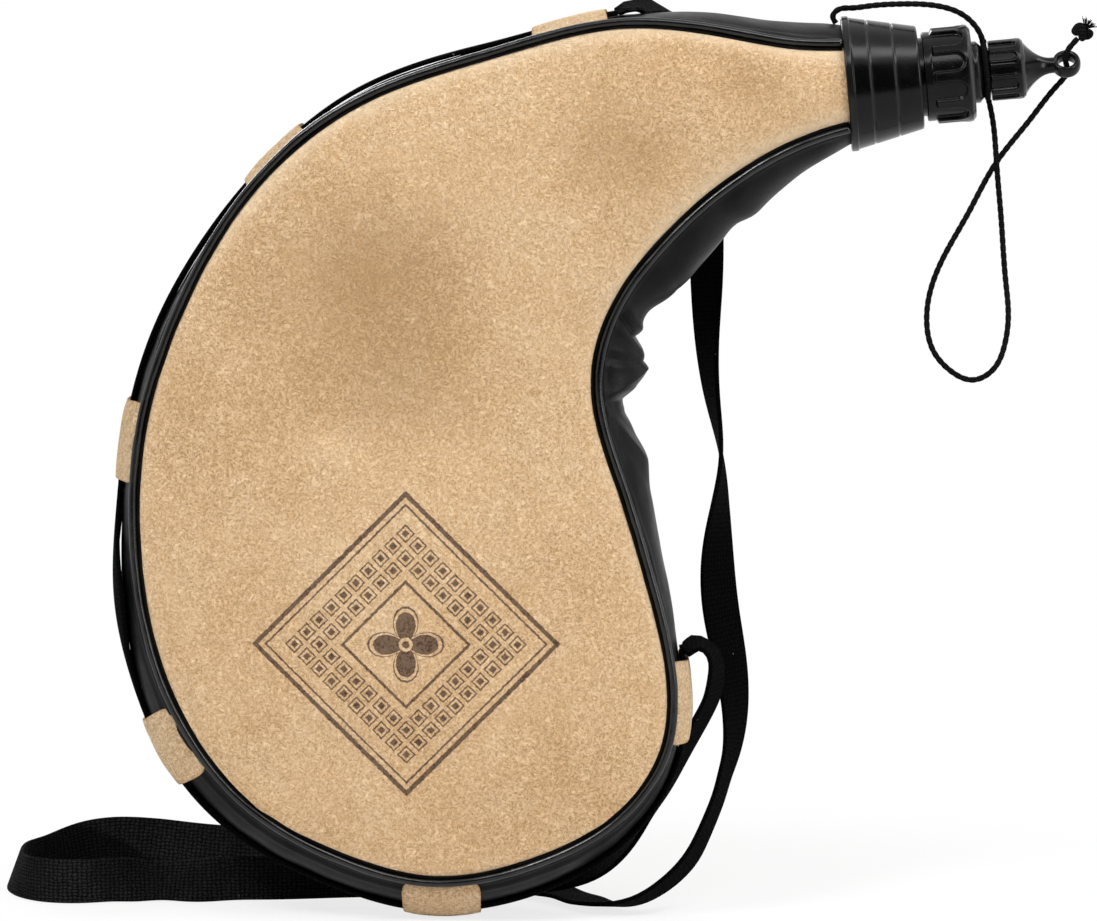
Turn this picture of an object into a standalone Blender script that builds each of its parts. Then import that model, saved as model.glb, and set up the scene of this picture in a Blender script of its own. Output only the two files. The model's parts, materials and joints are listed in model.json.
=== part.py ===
"""Curved leather bota bag with its shoulder strap, screw cap, pouring jet, stopper and keeper cord.

Metres, +Z up. The bag stands upright with its faces towards -Y and +Y and its nozzle towards +X.
The seam outline, the gusset and every strap on it follow one closed-form description, so a change
of a driving size carries through to all of them.
"""

import math

import bmesh
import bpy
import numpy as np
from mathutils import Matrix, Vector

# Driving sizes of the bag
face_width = 0.232
face_height = 0.280
face_left = -0.1488
face_bottom = 0.01678
gusset_width = 0.036
face_crown = 0.009
suede_wall = 0.0015
gusset_wall = 0.0012
piping_radius = 0.0013
piping_offset = 0.0032
gusset_offset = 0.0024
seam_margin = 0.0015
seat_gap = 0.0003
strap_gap = 0.0006

# Driving sizes of the neck, the collar and the clamped bladder
neck_tilt = math.radians(5.3)
neck_place_shares = (1.001, 0.936)
neck_face_half_width = 0.011
neck_sleeve_half_width = 0.0104
collar_length = 0.0246
collar_wide_radius = 0.0224
collar_narrow_radius = 0.0170
collar_wall = 0.0015
collar_end_wall = 0.0020
collar_lip_width = 0.0023
collar_lip_height = 0.0004
collar_groove_depth = 0.0003
collar_groove_half_width = 0.0004
collar_grip_length = 0.008
sleeve_clearance = 0.0005
sleeve_slack_gap = 0.0014
neck_radius = 0.0130
neck_bore_radius = 0.0105
neck_barb_radius = 0.0134
neck_barb_end = 0.0110
neck_inner_length = 0.014
neck_flange_radius = 0.0153
neck_flange_wall = 0.0020
clamp_length = 0.006
clamp_start = 0.002
clamp_wall = 0.0010
bladder_wall = 0.0008
bladder_clearance = 0.0030
bladder_throat_share = 0.095
bladder_end_share = 0.93
bladder_closing_share = 0.95

# Driving sizes of the filler cap, the jet and the stopper
cap_gap = 0.0014
cap_skirt_radius = 0.01475
cap_land_radius = 0.0160
cap_skirt_length = 0.0034
cap_length = 0.0160
cap_front_wall = 0.0024
cap_rim_round = 0.0009
cap_boss_radius = 0.0102
cap_boss_length = 0.0018
cap_taper_length = 0.0014
cap_taper_radius = 0.0086
thread_clearance = 0.0004
cap_flutes = 10
cap_flute_width = 0.0066
cap_flute_end_gap = 0.0026
groove_radius = 0.0076
groove_length = 0.0022
spigot_radius = 0.0070
spigot_length = 0.0071
jet_radius = 0.0030
jet_bore_radius = 0.0010
jet_flange_radius = 0.0055
jet_tip_length = 0.0020
gasket_wall = 0.0015
stopper_radius = 0.0100
stopper_grip_length = 0.0110
stopper_flutes = 12
stopper_flute_width = 0.0030
stopper_flute_length = 0.0088
stopper_flute_depth = 0.0008
stopper_flare_length = 0.0094
stopper_stem_radius = 0.0026
stopper_bore_step = 0.0021
eye_radius = 0.00475
eye_hole_radius = 0.0027
eye_hole_tilt = math.radians(45)
eye_place_length = 0.0253

# Driving sizes of the webbing and its loops
strap_width = 0.015
strap_wall = 0.0015
loop_length = 0.028
loop_wall = 0.0015
loop_span_share = 0.9146
rest_depth = 0.0003
strap_bow_height = 0.0025
strap_lead_length = 0.0027

# Driving size of the keeper cord
cord_radius = 0.00095
knot_radius = 0.0033
knot_offset = (0.0050, -0.0048, 0.0106)

# The seam outline, anticlockwise from the neck's upper side, as shares of the face's width and
# height, and the gusset's reach past the seam there, as a share of the gusset's width.
outline_shares = (
    (0.936, 0.976, 0.220),
    (0.836, 0.989, 0.211),
    (0.680, 1.000, 0.133),
    (0.509, 0.967, 0.108),
    (0.324, 0.914, 0.135),
    (0.171, 0.815, 0.100),
    (0.070, 0.681, 0.190),
    (0.010, 0.534, 0.236),
    (0.001, 0.375, 0.240),
    (0.043, 0.221, 0.300),
    (0.169, 0.080, 0.360),
    (0.282, 0.029, 0.370),
    (0.410, 0.001, 0.372),
    (0.552, 0.022, 0.355),
    (0.677, 0.080, 0.290),
    (0.735, 0.151, 0.200),
    (0.745, 0.221, 0.150),
    (0.721, 0.327, 0.160),
    (0.669, 0.469, 0.260),
    (0.636, 0.581, 0.400),
    (0.659, 0.669, 0.430),
    (0.737, 0.761, 0.465),
    (0.865, 0.849, 0.440),
)
rest_loop = 4
outer_corner = 12
inner_corner = 16

# The face's crown along the bag, from the neck to the bottom arc, as a share of the full crown.
crown_places_shares = (0.0, 0.12, 0.35, 0.52, 0.75, 1.0)
crown_height_shares = (0.47, 0.55, 0.90, 0.82, 1.00, 0.95)

# Folds of the slack gusset: place and spread as shares of the seam's length, height as a share
# of the gusset's width. The gusset is cut finer along the stretch that holds them.
fold_shares = (
    (0.8270, 0.0060, -0.090),
    (0.8465, 0.0065, 0.115),
    (0.8590, 0.0040, -0.030),
    (0.8850, 0.0100, 0.040),
)
fold_stretch_shares = (0.805, 0.900)

# Middles of the six loops, as shares of the seam's length.
loop_place_shares = (0.1146, 0.2380, 0.3600, 0.4807, 0.5896, 0.7126)

# The free strap between the two ends of the edge strap: over the neck, down behind the bag, out
# and back on the surface it lies on, and up to the sixth loop. Each row is the webbing's middle
# and the direction of its width there.
strap_route = (
    ((0.0195, 0.0030, 0.3058), (-0.15, 1.0, 0.0)),
    ((0.0245, 0.0090, 0.3068), (-0.45, 0.85, 0.0)),
    ((0.0290, 0.0180, 0.3050), (-0.75, 0.6, -0.1)),
    ((0.0330, 0.0270, 0.2975), (-0.9, 0.4, -0.1)),
    ((0.0358, 0.0305, 0.2860), (-0.9, 0.3, 0.0)),
    ((0.0370, 0.0312, 0.2680), (-0.9, 0.4, 0.0)),
    ((0.0374, 0.0300, 0.2400), (-0.8, 0.6, 0.0)),
    ((0.0374, 0.0280, 0.2125), (-0.7, 0.7, 0.0)),
    ((0.0376, 0.0265, 0.1915), (-0.5, 0.85, 0.0)),
    ((0.0395, 0.0250, 0.1720), (-0.3, 0.95, 0.0)),
    ((0.0424, 0.0240, 0.1530), (0.0, 1.0, 0.0)),
    ((0.0420, 0.0235, 0.1350), (0.4, 0.9, 0.0)),
    ((0.0413, 0.0230, 0.1183), (0.7, 0.7, 0.0)),
    ((0.0425, 0.0230, 0.1010), (0.8, 0.6, 0.0)),
    ((0.0448, 0.0235, 0.0844), (0.75, 0.65, 0.0)),
    ((0.0468, 0.0240, 0.0660), (0.6, 0.8, 0.0)),
    ((0.0455, 0.0255, 0.0500), (0.45, 0.9, 0.1)),
    ((0.0405, 0.0285, 0.0345), (0.3, 0.95, 0.2)),
    ((0.0310, 0.0325, 0.0200), (0.1, 0.98, 0.2)),
    ((0.0185, 0.0370, 0.0095), (0.0, 1.0, 0.1)),
    ((0.0040, 0.0405, 0.0040), (0.0, 1.0, 0.05)),
    ((-0.0150, 0.0450, 0.0032), (0.0, 0.98, 0.2)),
    ((-0.0350, 0.0510, 0.0052), (0.0, 0.85, 0.5)),
    ((-0.0580, 0.0580, 0.0075), (0.0, 0.45, 0.9)),
    ((-0.0850, 0.0650, 0.0082), (0.0, 0.1, 1.0)),
    ((-0.1120, 0.0715, 0.0080), (0.0, 0.0, 1.0)),
    ((-0.1380, 0.0780, 0.0080), (0.0, 0.0, 1.0)),
    ((-0.1600, 0.0830, 0.0080), (0.0, 0.0, 1.0)),
    ((-0.1790, 0.0800, 0.0080), (0.0, 0.0, 1.0)),
    ((-0.1930, 0.0665, 0.0080), (-0.15, 0.1, 1.0)),
    ((-0.1968, 0.0490, 0.0080), (-0.3, 0.0, 1.0)),
    ((-0.1895, 0.0345, 0.0080), (-0.15, -0.1, 1.0)),
    ((-0.1740, 0.0280, 0.0080), (0.0, 0.0, 1.0)),
    ((-0.1500, 0.0285, 0.0080), (0.0, 0.0, 1.0)),
    ((-0.1200, 0.0310, 0.0080), (0.0, 0.0, 1.0)),
    ((-0.0900, 0.0320, 0.0081), (0.0, 0.0, 1.0)),
    ((-0.0620, 0.0310, 0.0083), (0.0, 0.0, 1.0)),
    ((-0.0360, 0.0285, 0.0098), (0.0, 0.1, 1.0)),
    ((-0.0120, 0.0250, 0.0140), (-0.1, 0.35, 0.9)),
    ((0.0045, 0.0205, 0.0195), (-0.2, 0.7, 0.6)),
    ((0.0165, 0.0155, 0.0280), (-0.15, 0.93, 0.3)),
    ((0.0258, 0.0112, 0.0400), (0.0, 1.0, 0.1)),
    ((0.0308, 0.0080, 0.0510), (0.0, 1.0, 0.1)),
    ((0.0345, 0.0052, 0.0600), (-0.1, 0.97, 0.1)),
    ((0.0375, 0.0025, 0.0672), (-0.2, 0.95, 0.0)),
    ((0.0405, 0.0000, 0.0750), (-0.25, 0.95, 0.0)),
    ((0.0424, -0.0010, 0.0835), (-0.2, 0.97, 0.0)),
    ((0.0420, -0.0012, 0.0925), (0.0, 1.0, 0.1)),
    ((0.0386, -0.0008, 0.0992), (0.0, 1.0, 0.0)),
    ((0.0342, 0.0000, 0.1006), (0.0, 1.0, 0.0)),
)

# The keeper cord from the collar's rim to the groove, and its hanging loop up to the eye.
bridge_route_along = (
    (-0.0015, 0.0203),
    (-0.0023, 0.0228),
    (-0.0006, 0.0246),
    (0.0036, 0.0249),
    (0.0102, 0.0250),
    (0.0202, 0.0247),
    (0.0284, 0.0238),
    (0.0348, 0.0222),
    (0.0400, 0.0196),
    (0.0440, 0.0155),
    (0.0458, 0.0118),
    (0.0462, 0.0101),
)
hanging_route = (
    (0.1302, 0.0000, 0.2730),
    (0.1312, -0.0008, 0.2680),
    (0.1333, -0.0016, 0.2528),
    (0.1350, -0.0010, 0.2340),
    (0.1366, 0.0000, 0.2142),
    (0.1376, 0.0004, 0.2013),
    (0.1363, 0.0004, 0.1918),
    (0.1330, 0.0002, 0.1846),
    (0.1261, 0.0000, 0.1808),
    (0.1181, -0.0002, 0.1842),
    (0.1125, -0.0004, 0.1911),
    (0.1106, -0.0002, 0.1995),
    (0.1119, 0.0004, 0.2110),
    (0.1158, 0.0010, 0.2210),
    (0.1241, 0.0018, 0.2360),
    (0.1333, 0.0024, 0.2528),
    (0.1439, 0.0030, 0.2670),
    (0.1508, 0.0048, 0.2760),
)

round_steps = 36
corner_steps = 3
outline_steps = 74
fold_steps = 20
face_steps_along = 26
face_steps_across = 10
gusset_steps_across = 6
strap_steps = 110
edge_strap_steps = 54
bladder_steps_along = 14
bladder_steps_round = 18
cutter_overrun = 0.002

FACE_FRONT = -1.0
FACE_BACK = 1.0
DENSE_SAMPLES = 2400


# Curves and surfaces


def natural_spline(places, values, wanted):
    """Values at the wanted places on the natural cubic spline through the given values."""
    places = np.asarray(places, float)
    values = np.asarray(values, float)
    wanted = np.asarray(wanted, float)
    count = len(places)
    kept = values.shape[1:]
    values = values.reshape(count, -1)
    steps = np.diff(places)
    slopes = np.diff(values, axis=0) / steps[:, None]
    system = np.eye(count)
    for i in range(1, count - 1):
        system[i, i - 1 : i + 2] = steps[i - 1], 2 * (steps[i - 1] + steps[i]), steps[i]
    right = np.zeros_like(values)
    right[1:-1] = 6 * np.diff(slopes, axis=0)
    bend = np.linalg.solve(system, right)
    k = np.clip(np.searchsorted(places, wanted) - 1, 0, count - 2)
    t = (wanted - places[k])[:, None]
    h = steps[k][:, None]
    start = slopes[k] - h * (2 * bend[k] + bend[k + 1]) / 6
    found = values[k] + t * (start + t * (bend[k] / 2 + t * (bend[k + 1] - bend[k]) / (6 * h)))
    return found.reshape((len(wanted),) + kept)


def chord_places(points):
    """The running length along straight lines through the points."""
    return np.concatenate([[0.0], np.cumsum(np.linalg.norm(np.diff(points, axis=0), axis=1))])


def even_points(points, count):
    """Points spaced evenly by length on a smooth curve through the given ones. Further columns
    than the three of the place are carried along."""
    points = np.asarray(points, float)
    at = chord_places(points[:, :3])
    dense = natural_spline(at, points, np.linspace(0.0, at[-1], DENSE_SAMPLES))
    run = chord_places(dense[:, :3])
    wanted = np.linspace(0.0, run[-1], count)
    return np.stack([np.interp(wanted, run, dense[:, i]) for i in range(points.shape[1])], axis=1)


def unit(vectors):
    """Vectors scaled to length one."""
    return vectors / np.linalg.norm(vectors, axis=-1, keepdims=True)


def outward_normals(line):
    """Normals of an outline in the XZ plane that runs anticlockwise as the front shows it."""
    along = unit(np.gradient(line, axis=0))
    return np.stack([along[:, 1], -along[:, 0]], axis=1)


# The seam outline


def neck_point(along, across):
    """X and Z of a point in the neck's own plane: along its axis, and square to it, upwards."""
    axis = np.array([math.cos(neck_tilt), math.sin(neck_tilt)])
    upwards = np.array([-axis[1], axis[0]])
    return neck_middle + along * axis + across * upwards


def collar_inside(along):
    """The collar's inner radius at a place along the neck."""
    taper = (collar_wide_radius - collar_narrow_radius) / collar_length
    return collar_wide_radius - collar_wall - taper * along


def outline_knots():
    """The outline's knots with the gusset's reach at each: X, Z and reach."""
    neck_reach = collar_inside(0.0) - neck_face_half_width - sleeve_slack_gap
    sleeve_reach = collar_inside(collar_grip_length) - neck_sleeve_half_width - sleeve_slack_gap
    rows = [
        (*neck_point(collar_grip_length, neck_sleeve_half_width), sleeve_reach),
        (*neck_point(0.0, neck_face_half_width), neck_reach),
    ]
    rows += [
        (face_left + x * face_width, face_bottom + z * face_height, reach * gusset_width)
        for x, z, reach in outline_shares
    ]
    rows += [
        (*neck_point(0.0, -neck_face_half_width), neck_reach),
        (*neck_point(collar_grip_length, -neck_sleeve_half_width), sleeve_reach),
    ]
    return np.array(rows)


neck_middle = np.array(
    [
        face_left + neck_place_shares[0] * face_width,
        face_bottom + neck_place_shares[1] * face_height,
    ]
)
KNOTS = outline_knots()
KNOT_PLACES = chord_places(KNOTS[:, :2])
SEAM = natural_spline(
    KNOT_PLACES, KNOTS, np.linspace(0.0, KNOT_PLACES[-1], DENSE_SAMPLES)
)
SEAM_NORMALS = outward_normals(SEAM[:, :2])
SEAM_RUN = chord_places(SEAM[:, :2])
SEAM_LENGTH = SEAM_RUN[-1]
SLEEVE_SHARE = collar_grip_length / SEAM_LENGTH


def along_neck(points):
    """How far points in the XZ plane lie along the neck's axis, from the collar's wide end."""
    axis = np.array([math.cos(neck_tilt), math.sin(neck_tilt)])
    return (np.asarray(points)[..., :2] - neck_middle) @ axis


def on_seam(shares, table):
    """Rows of a table that runs with the seam, at shares of the seam's length."""
    wanted = np.asarray(shares, float) * SEAM_LENGTH
    return np.stack([np.interp(wanted, SEAM_RUN, table[:, i]) for i in range(table.shape[1])], axis=1)


def half_depth(points):
    """Half the gusset's width at the seam: full in the bag, and drawn in to the collar's bore."""
    into = along_neck(points)
    bore = collar_inside(np.clip(into, 0.0, collar_grip_length)) - sleeve_clearance
    half_face = np.interp(into, [0.0, collar_grip_length], [neck_face_half_width, neck_sleeve_half_width])
    drawn = np.sqrt(bore**2 - (half_face + seam_margin) ** 2)
    blend = np.clip(1 + into / (gusset_width / 2), 0.0, 1.0)
    blend = blend * blend * (3 - 2 * blend)
    return gusset_width / 2 * (1 - blend) + drawn * blend


def gusset_reach(shares):
    """The gusset's reach past the seam at shares of its length, with the folds of its slack side."""
    shares = np.asarray(shares, float)
    reach = on_seam(shares, SEAM)[:, 2]
    for place, spread, height in fold_shares:
        reach = reach + height * gusset_width * np.exp(-(((shares - place) / spread) ** 2))
    return reach


def over_gusset(shares, turn, lift):
    """Points over the gusset: turn runs from 0 at the front seam to pi at the rear one, and lift
    is the height over its outer face. The section is half an ellipse between the seams."""
    shares, turn, lift = np.broadcast_arrays(
        np.asarray(shares, float), np.asarray(turn, float), np.asarray(lift, float)
    )
    flat = shares.ravel()
    middle = on_seam(flat, SEAM)[:, :2]
    normal = unit(on_seam(flat, SEAM_NORMALS))
    depth = half_depth(middle) - piping_radius - seat_gap
    swell = gusset_reach(flat) - gusset_offset
    angle = turn.ravel()
    tilt = np.stack([depth * np.sin(angle), -swell * np.cos(angle)], axis=1)
    tilt = unit(tilt) * lift.ravel()[:, None]
    outwards = gusset_offset + swell * np.sin(angle) + tilt[:, 0]
    across = -depth * np.cos(angle) + tilt[:, 1]
    spot = middle + normal * outwards[:, None]
    return np.stack([spot[:, 0], across, spot[:, 1]], axis=1).reshape(shares.shape + (3,))


# Blender objects


def new_collection(name):
    """A collection in the scene."""
    collection = bpy.data.collections.new(name)
    bpy.context.scene.collection.children.link(collection)
    return collection


def material(name, colour, roughness, metallic=0.0):
    """A Principled material."""
    made = bpy.data.materials.new(name)
    made.use_nodes = True
    shader = made.node_tree.nodes["Principled BSDF"]
    shader.inputs["Base Color"].default_value = (*colour, 1.0)
    shader.inputs["Roughness"].default_value = roughness
    shader.inputs["Metallic"].default_value = metallic
    return made


def mesh_object(name, bm, finish, parent=None, smooth=True):
    """An object of the bag's collection from a bmesh."""
    mesh = bpy.data.meshes.new(name)
    bm.to_mesh(mesh)
    bm.free()
    if smooth:
        mesh.shade_smooth()
        mesh.set_sharp_from_angle(angle=math.radians(35))
    made = bpy.data.objects.new(name, mesh)
    mesh.materials.append(finish)
    bag_collection.objects.link(made)
    made.parent = parent
    return made


def add_wall(made, wall, offset=-1.0):
    """Gives an open surface its thickness, inwards unless told otherwise."""
    solidify = made.modifiers.new("wall", "SOLIDIFY")
    solidify.thickness = wall
    solidify.offset = offset
    solidify.use_even_offset = True
    return made


def loft(name, rows, finish, wall, offset=-1.0, ring=False, flip=False, end_cap=False):
    """A surface through rows of points, given a wall. A ring's rows close on themselves."""
    rows = np.asarray(rows, float)
    bm = bmesh.new()
    verts = [[bm.verts.new(point) for point in row] for row in rows]
    count = len(verts[0])
    for lower, upper in zip(verts, verts[1:]):
        for j in range(count if ring else count - 1):
            k = (j + 1) % count
            quad = (lower[j], lower[k], upper[k], upper[j])
            bm.faces.new(quad[::-1] if flip else quad)
    if end_cap:
        bm.faces.new(verts[-1][::-1] if flip else verts[-1])
    return add_wall(mesh_object(name, bm, finish), wall, offset)


def tube(name, points, radius, finish, resolution=2):
    """A round cord or piping: a poly curve with a bevel and filled caps."""
    data = bpy.data.curves.new(name, "CURVE")
    data.dimensions = "3D"
    data.bevel_depth = radius
    data.bevel_resolution = resolution
    data.use_fill_caps = True
    line = data.splines.new("POLY")
    line.points.add(len(points) - 1)
    for spot, point in zip(line.points, points):
        spot.co = (*point, 1.0)
    data.materials.append(finish)
    made = bpy.data.objects.new(name, data)
    bag_collection.objects.link(made)
    return made


def rounded(corners):
    """A profile whose corners (radius, place, rounding) are turned into short arcs."""
    spots = [np.array(corner[:2], float) for corner in corners]
    made = []
    for i, corner in enumerate(corners):
        here, before, after = spots[i], spots[i - 1], spots[(i + 1) % len(spots)]
        if len(corner) < 3:
            made.append(here)
            continue
        back, ahead = unit(before - here), unit(after - here)
        half = math.acos(float(np.clip(back @ ahead, -1, 1))) / 2
        middle = here + unit(back + ahead) * corner[2] / math.sin(half)
        first = here + back * corner[2] / math.tan(half) - middle
        last = here + ahead * corner[2] / math.tan(half) - middle
        for share in np.linspace(0.0, 1.0, corner_steps):
            made.append(middle + unit(first * (1 - share) + last * share) * corner[2])
    return made


def turned(name, corners, finish, steps=round_steps):
    """A turned ring or tube on the nozzle's axis, from a closed profile of radius and place."""
    bm = bmesh.new()
    verts = [bm.verts.new((radius, 0.0, place)) for radius, place in rounded(corners)]
    for i, vert in enumerate(verts):
        bm.edges.new((vert, verts[(i + 1) % len(verts)]))
    made = mesh_object(name, bm, finish, nozzle, smooth=False)
    screw = made.modifiers.new("turn", "SCREW")
    screw.axis = "Z"
    screw.steps = screw.render_steps = steps
    screw.use_merge_vertices = True
    screw.merge_threshold = 1e-6
    screw.use_smooth_shade = True
    return made


def hide_cutter(name, bm, parent=None):
    """A cutting body, kept out of the render."""
    mesh = bpy.data.meshes.new(name)
    bmesh.ops.recalc_face_normals(bm, faces=bm.faces)
    bm.to_mesh(mesh)
    bm.free()
    cutter = bpy.data.objects.new(name, mesh)
    cutter_collection.objects.link(cutter)
    cutter.parent = parent
    cutter.hide_render = True
    cutter.display_type = "WIRE"
    return cutter


def boolean(made, other, operation):
    """Cuts the other body from this one, or joins it on."""
    step = made.modifiers.new(operation.lower(), "BOOLEAN")
    step.object = other
    step.operation = operation
    step.solver = "EXACT"


def flute_cutter(name, count, width, floor, reach, open_end, round_end):
    """Stadium-shaped cutters round the nozzle's axis, open at one end and round at the other."""
    bm = bmesh.new()
    half = width / 2
    arc = np.linspace(0.0, math.pi, 7)
    outline = [(half, open_end), *((half * math.cos(a), round_end - half + half * math.sin(a)) for a in arc)]
    outline.append((-half, open_end))
    for i in range(count):
        turn = Matrix.Rotation(2 * math.pi * i / count, 4, "Z")
        face = bm.faces.new([bm.verts.new(turn @ Vector((floor, y, z))) for y, z in outline])
        grown = bmesh.ops.extrude_face_region(bm, geom=[face])
        outwards = turn @ Vector((reach - floor, 0.0, 0.0))
        moved = [part for part in grown["geom"] if isinstance(part, bmesh.types.BMVert)]
        bmesh.ops.translate(bm, verts=moved, vec=outwards)
    return hide_cutter(name, bm, nozzle)


# The bag's soft pieces


def face_rows(side):
    """Rows of the domed face: a Coons patch on the seam with a crown across and along it."""
    margin = SEAM[:, :2] + SEAM_NORMALS * seam_margin
    outer_end, inner_end = (
        SEAM_RUN[np.searchsorted(np.linspace(0, KNOT_PLACES[-1], DENSE_SAMPLES), KNOT_PLACES[i])]
        for i in (outer_corner, inner_corner)
    )

    def stretch(start, end, count):
        wanted = np.linspace(start, end, count)
        return np.stack([np.interp(wanted, SEAM_RUN, margin[:, i]) for i in range(2)], axis=1)

    rows, columns = face_steps_along + 1, face_steps_across + 1
    outer = stretch(0.0, outer_end, rows)
    inner = stretch(SEAM_LENGTH, inner_end, rows)
    bottom = stretch(outer_end, inner_end, columns)
    v = np.linspace(0, 1, rows)[:, None, None]
    u = np.linspace(0, 1, columns)[None, :, None]
    neck = outer[0] + (inner[0] - outer[0]) * u[0]
    ruled = (1 - u) * outer[:, None] + u * inner[:, None]
    across = (1 - v) * neck[None] + v * bottom[None]
    corners = (1 - v) * ((1 - u) * outer[0] + u * inner[0]) + v * ((1 - u) * outer[-1] + u * inner[-1])
    flat = ruled + across - corners
    u, v = u[..., 0], v[..., 0]
    crown = natural_spline(crown_places_shares, crown_height_shares, v.ravel())[:, None]
    dome = face_crown * crown * (1 - np.abs(2 * u - 1) ** 2.3) * (1 - v**7)
    depth = half_depth(flat) + dome
    return np.stack([flat[..., 0], side * depth, flat[..., 1]], axis=2)


def make_faces():
    """The two suede faces."""
    for name, side in (("front_panel", FACE_FRONT), ("back_panel", FACE_BACK)):
        loft(name, face_rows(side), suede, suede_wall, flip=side < 0)


def make_gusset():
    """The leatherette band between the seams."""
    start, end = fold_stretch_shares
    shares = np.linspace(0.0, 1.0, outline_steps + 1)
    plain = shares[(shares < start) | (shares > end)]
    shares = np.sort(np.append(plain, np.linspace(start, end, fold_steps)))[:, None]
    turn = np.linspace(0.0, math.pi, gusset_steps_across + 1)[None]
    loft("gusset", over_gusset(shares, turn, 0.0), leatherette, gusset_wall)


def seam_line(side, start, end, count):
    """The piping's middle line along one seam."""
    shares = np.linspace(start, end, count)
    middle = on_seam(shares, SEAM)[:, :2]
    spot = middle + unit(on_seam(shares, SEAM_NORMALS)) * piping_offset
    return np.stack([spot[:, 0], side * half_depth(middle), spot[:, 1]], axis=1)


def make_piping():
    """Piping round each seam, ending at the collar's wide rim."""
    ends = SLEEVE_SHARE + 2 * seat_gap / SEAM_LENGTH
    for name, side in (("front_piping", FACE_FRONT), ("back_piping", FACE_BACK)):
        tube(name, seam_line(side, ends, 1 - ends, 64), piping_radius, piping, resolution=1)


def make_bladder():
    """The liner: a tube of oval sections from the neck to a closed end above the bottom seam."""
    rows = face_rows(FACE_BACK)
    shares = np.linspace(0.0, 1.0, len(rows))
    edges = rows[:, [0, -1]][:, :, [0, 2]]
    middle_depth = rows[:, face_steps_across // 2, 1]
    steps = np.linspace(0.0, 1.0, bladder_steps_along)
    wanted = bladder_end_share * (1 - (1 - steps) ** 1.25)
    wanted = np.concatenate([[0.0, 0.0], np.maximum(wanted[1:], bladder_throat_share)])
    edge = natural_spline(shares, edges, wanted)
    thick = np.interp(wanted, shares, middle_depth) - bladder_clearance
    middle = edge.mean(axis=1)
    chord = edge[:, 1] - edge[:, 0]
    wide = np.linalg.norm(chord, axis=1) / 2 - bladder_clearance
    chord = unit(chord)
    throat = neck_barb_radius + seat_gap + bladder_wall
    blend = np.clip((wanted - wanted[1]) / 0.12, 0.0, 1.0)
    blend = blend * blend * (3 - 2 * blend)
    closing = np.sqrt(np.clip(1 - (wanted / bladder_closing_share) ** 6, 0.0, 1.0))
    wide = (throat * (1 - blend) + wide * blend) * closing
    thick = (throat * (1 - blend) + thick * blend) * closing
    for row, along in enumerate((collar_grip_length, -neck_inner_length - bladder_wall)):
        middle[row] = neck_point(along, 0.0)
        chord[row] = unit(np.array(neck_point(0.0, -1.0)) - neck_middle)
        wide[row] = thick[row] = throat
    angle = np.linspace(0, 2 * math.pi, bladder_steps_round, endpoint=False)
    power = 1 - 0.18 * blend[:, None]
    round_x = np.sign(np.cos(angle)) * np.abs(np.cos(angle)) ** power
    round_y = np.sign(np.sin(angle)) * np.abs(np.sin(angle)) ** power
    spot = middle[:, None] + chord[:, None] * (wide[:, None] * round_x)[..., None]
    rows = np.stack([spot[..., 0], thick[:, None] * round_y, spot[..., 1]], axis=2)
    loft("bladder", rows, latex, bladder_wall, ring=True, flip=True, end_cap=True)


def bow_of(shares):
    """How far the strap stands off the gusset between the third and the fourth loop."""
    third, fourth = loop_place_shares[2:4]
    half = loop_length / 2 / SEAM_LENGTH
    share = np.clip((shares - third - half) / (fourth - third - 2 * half), 0.0, 1.0)
    return strap_bow_height * np.sin(math.pi * share) ** 2


def turns_at(y):
    """The turn over the gusset's section at a depth from its middle."""
    depth = gusset_width / 2 - piping_radius - seat_gap
    return np.arccos(-y / depth)


def strap_end_shares():
    """Where the held stretch of webbing ends: just past the first and the sixth loop."""
    half = (loop_length / 2 + strap_wall) / SEAM_LENGTH
    return loop_place_shares[0] - half, loop_place_shares[-1] + half


def make_edge_strap():
    """The webbing held along the gusset by the loops, bent over it like them."""
    shares = np.linspace(*strap_end_shares(), edge_strap_steps)[:, None]
    turn = turns_at(np.linspace(-strap_width / 2, strap_width / 2, 5))[None]
    lift = strap_gap + strap_wall / 2 + bow_of(shares)
    loft("edge_strap", over_gusset(shares, turn, lift), webbing, strap_wall, offset=0.0)


def floor_cutter(floor):
    """A block below the level that the bag stands on, to press the lowest loop flat there."""
    bm = bmesh.new()
    bmesh.ops.create_cube(bm, size=face_width / 2)
    bmesh.ops.translate(bm, verts=bm.verts, vec=(-face_width / 4, 0.0, floor - face_width / 4))
    return hide_cutter("floor", bm)


def make_strap_loops():
    """Six suede loops over the strap, sewn at both seams."""
    half = loop_length / 2 / SEAM_LENGTH
    reach = loop_span_share * (gusset_width / 2 - piping_radius - seat_gap)
    for i, place in enumerate(loop_place_shares):
        shares = np.linspace(place - half, place + half, 5)[:, None]
        y = np.linspace(-reach, reach, 9)[None]
        turn = turns_at(y)
        over_strap = np.clip((reach - np.abs(y)) / (reach - strap_width / 2 - seat_gap), 0.0, 1.0)
        lift = seat_gap + loop_wall + (strap_wall + strap_gap) * over_strap
        rows = over_gusset(shares, turn, lift)
        made = loft(f"strap_loop_{i + 1}", rows, suede_trim, loop_wall)
        if i == rest_loop:
            floor = rows[..., 2].min() + rest_depth
            boolean(made, floor_cutter(floor), "DIFFERENCE")


def strap_ends():
    """Points of the free webbing's middle as it leaves each end of the held stretch."""
    first, last = strap_end_shares()
    gap = 1.5 * strap_gap / SEAM_LENGTH
    step = strap_lead_length / SEAM_LENGTH
    start = first - gap - step * np.arange(3)
    end = last + gap + step * np.arange(2)[::-1]
    lift = strap_gap + strap_wall / 2
    return over_gusset(start, math.pi / 2, lift), over_gusset(end, math.pi / 2, lift)


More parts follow.
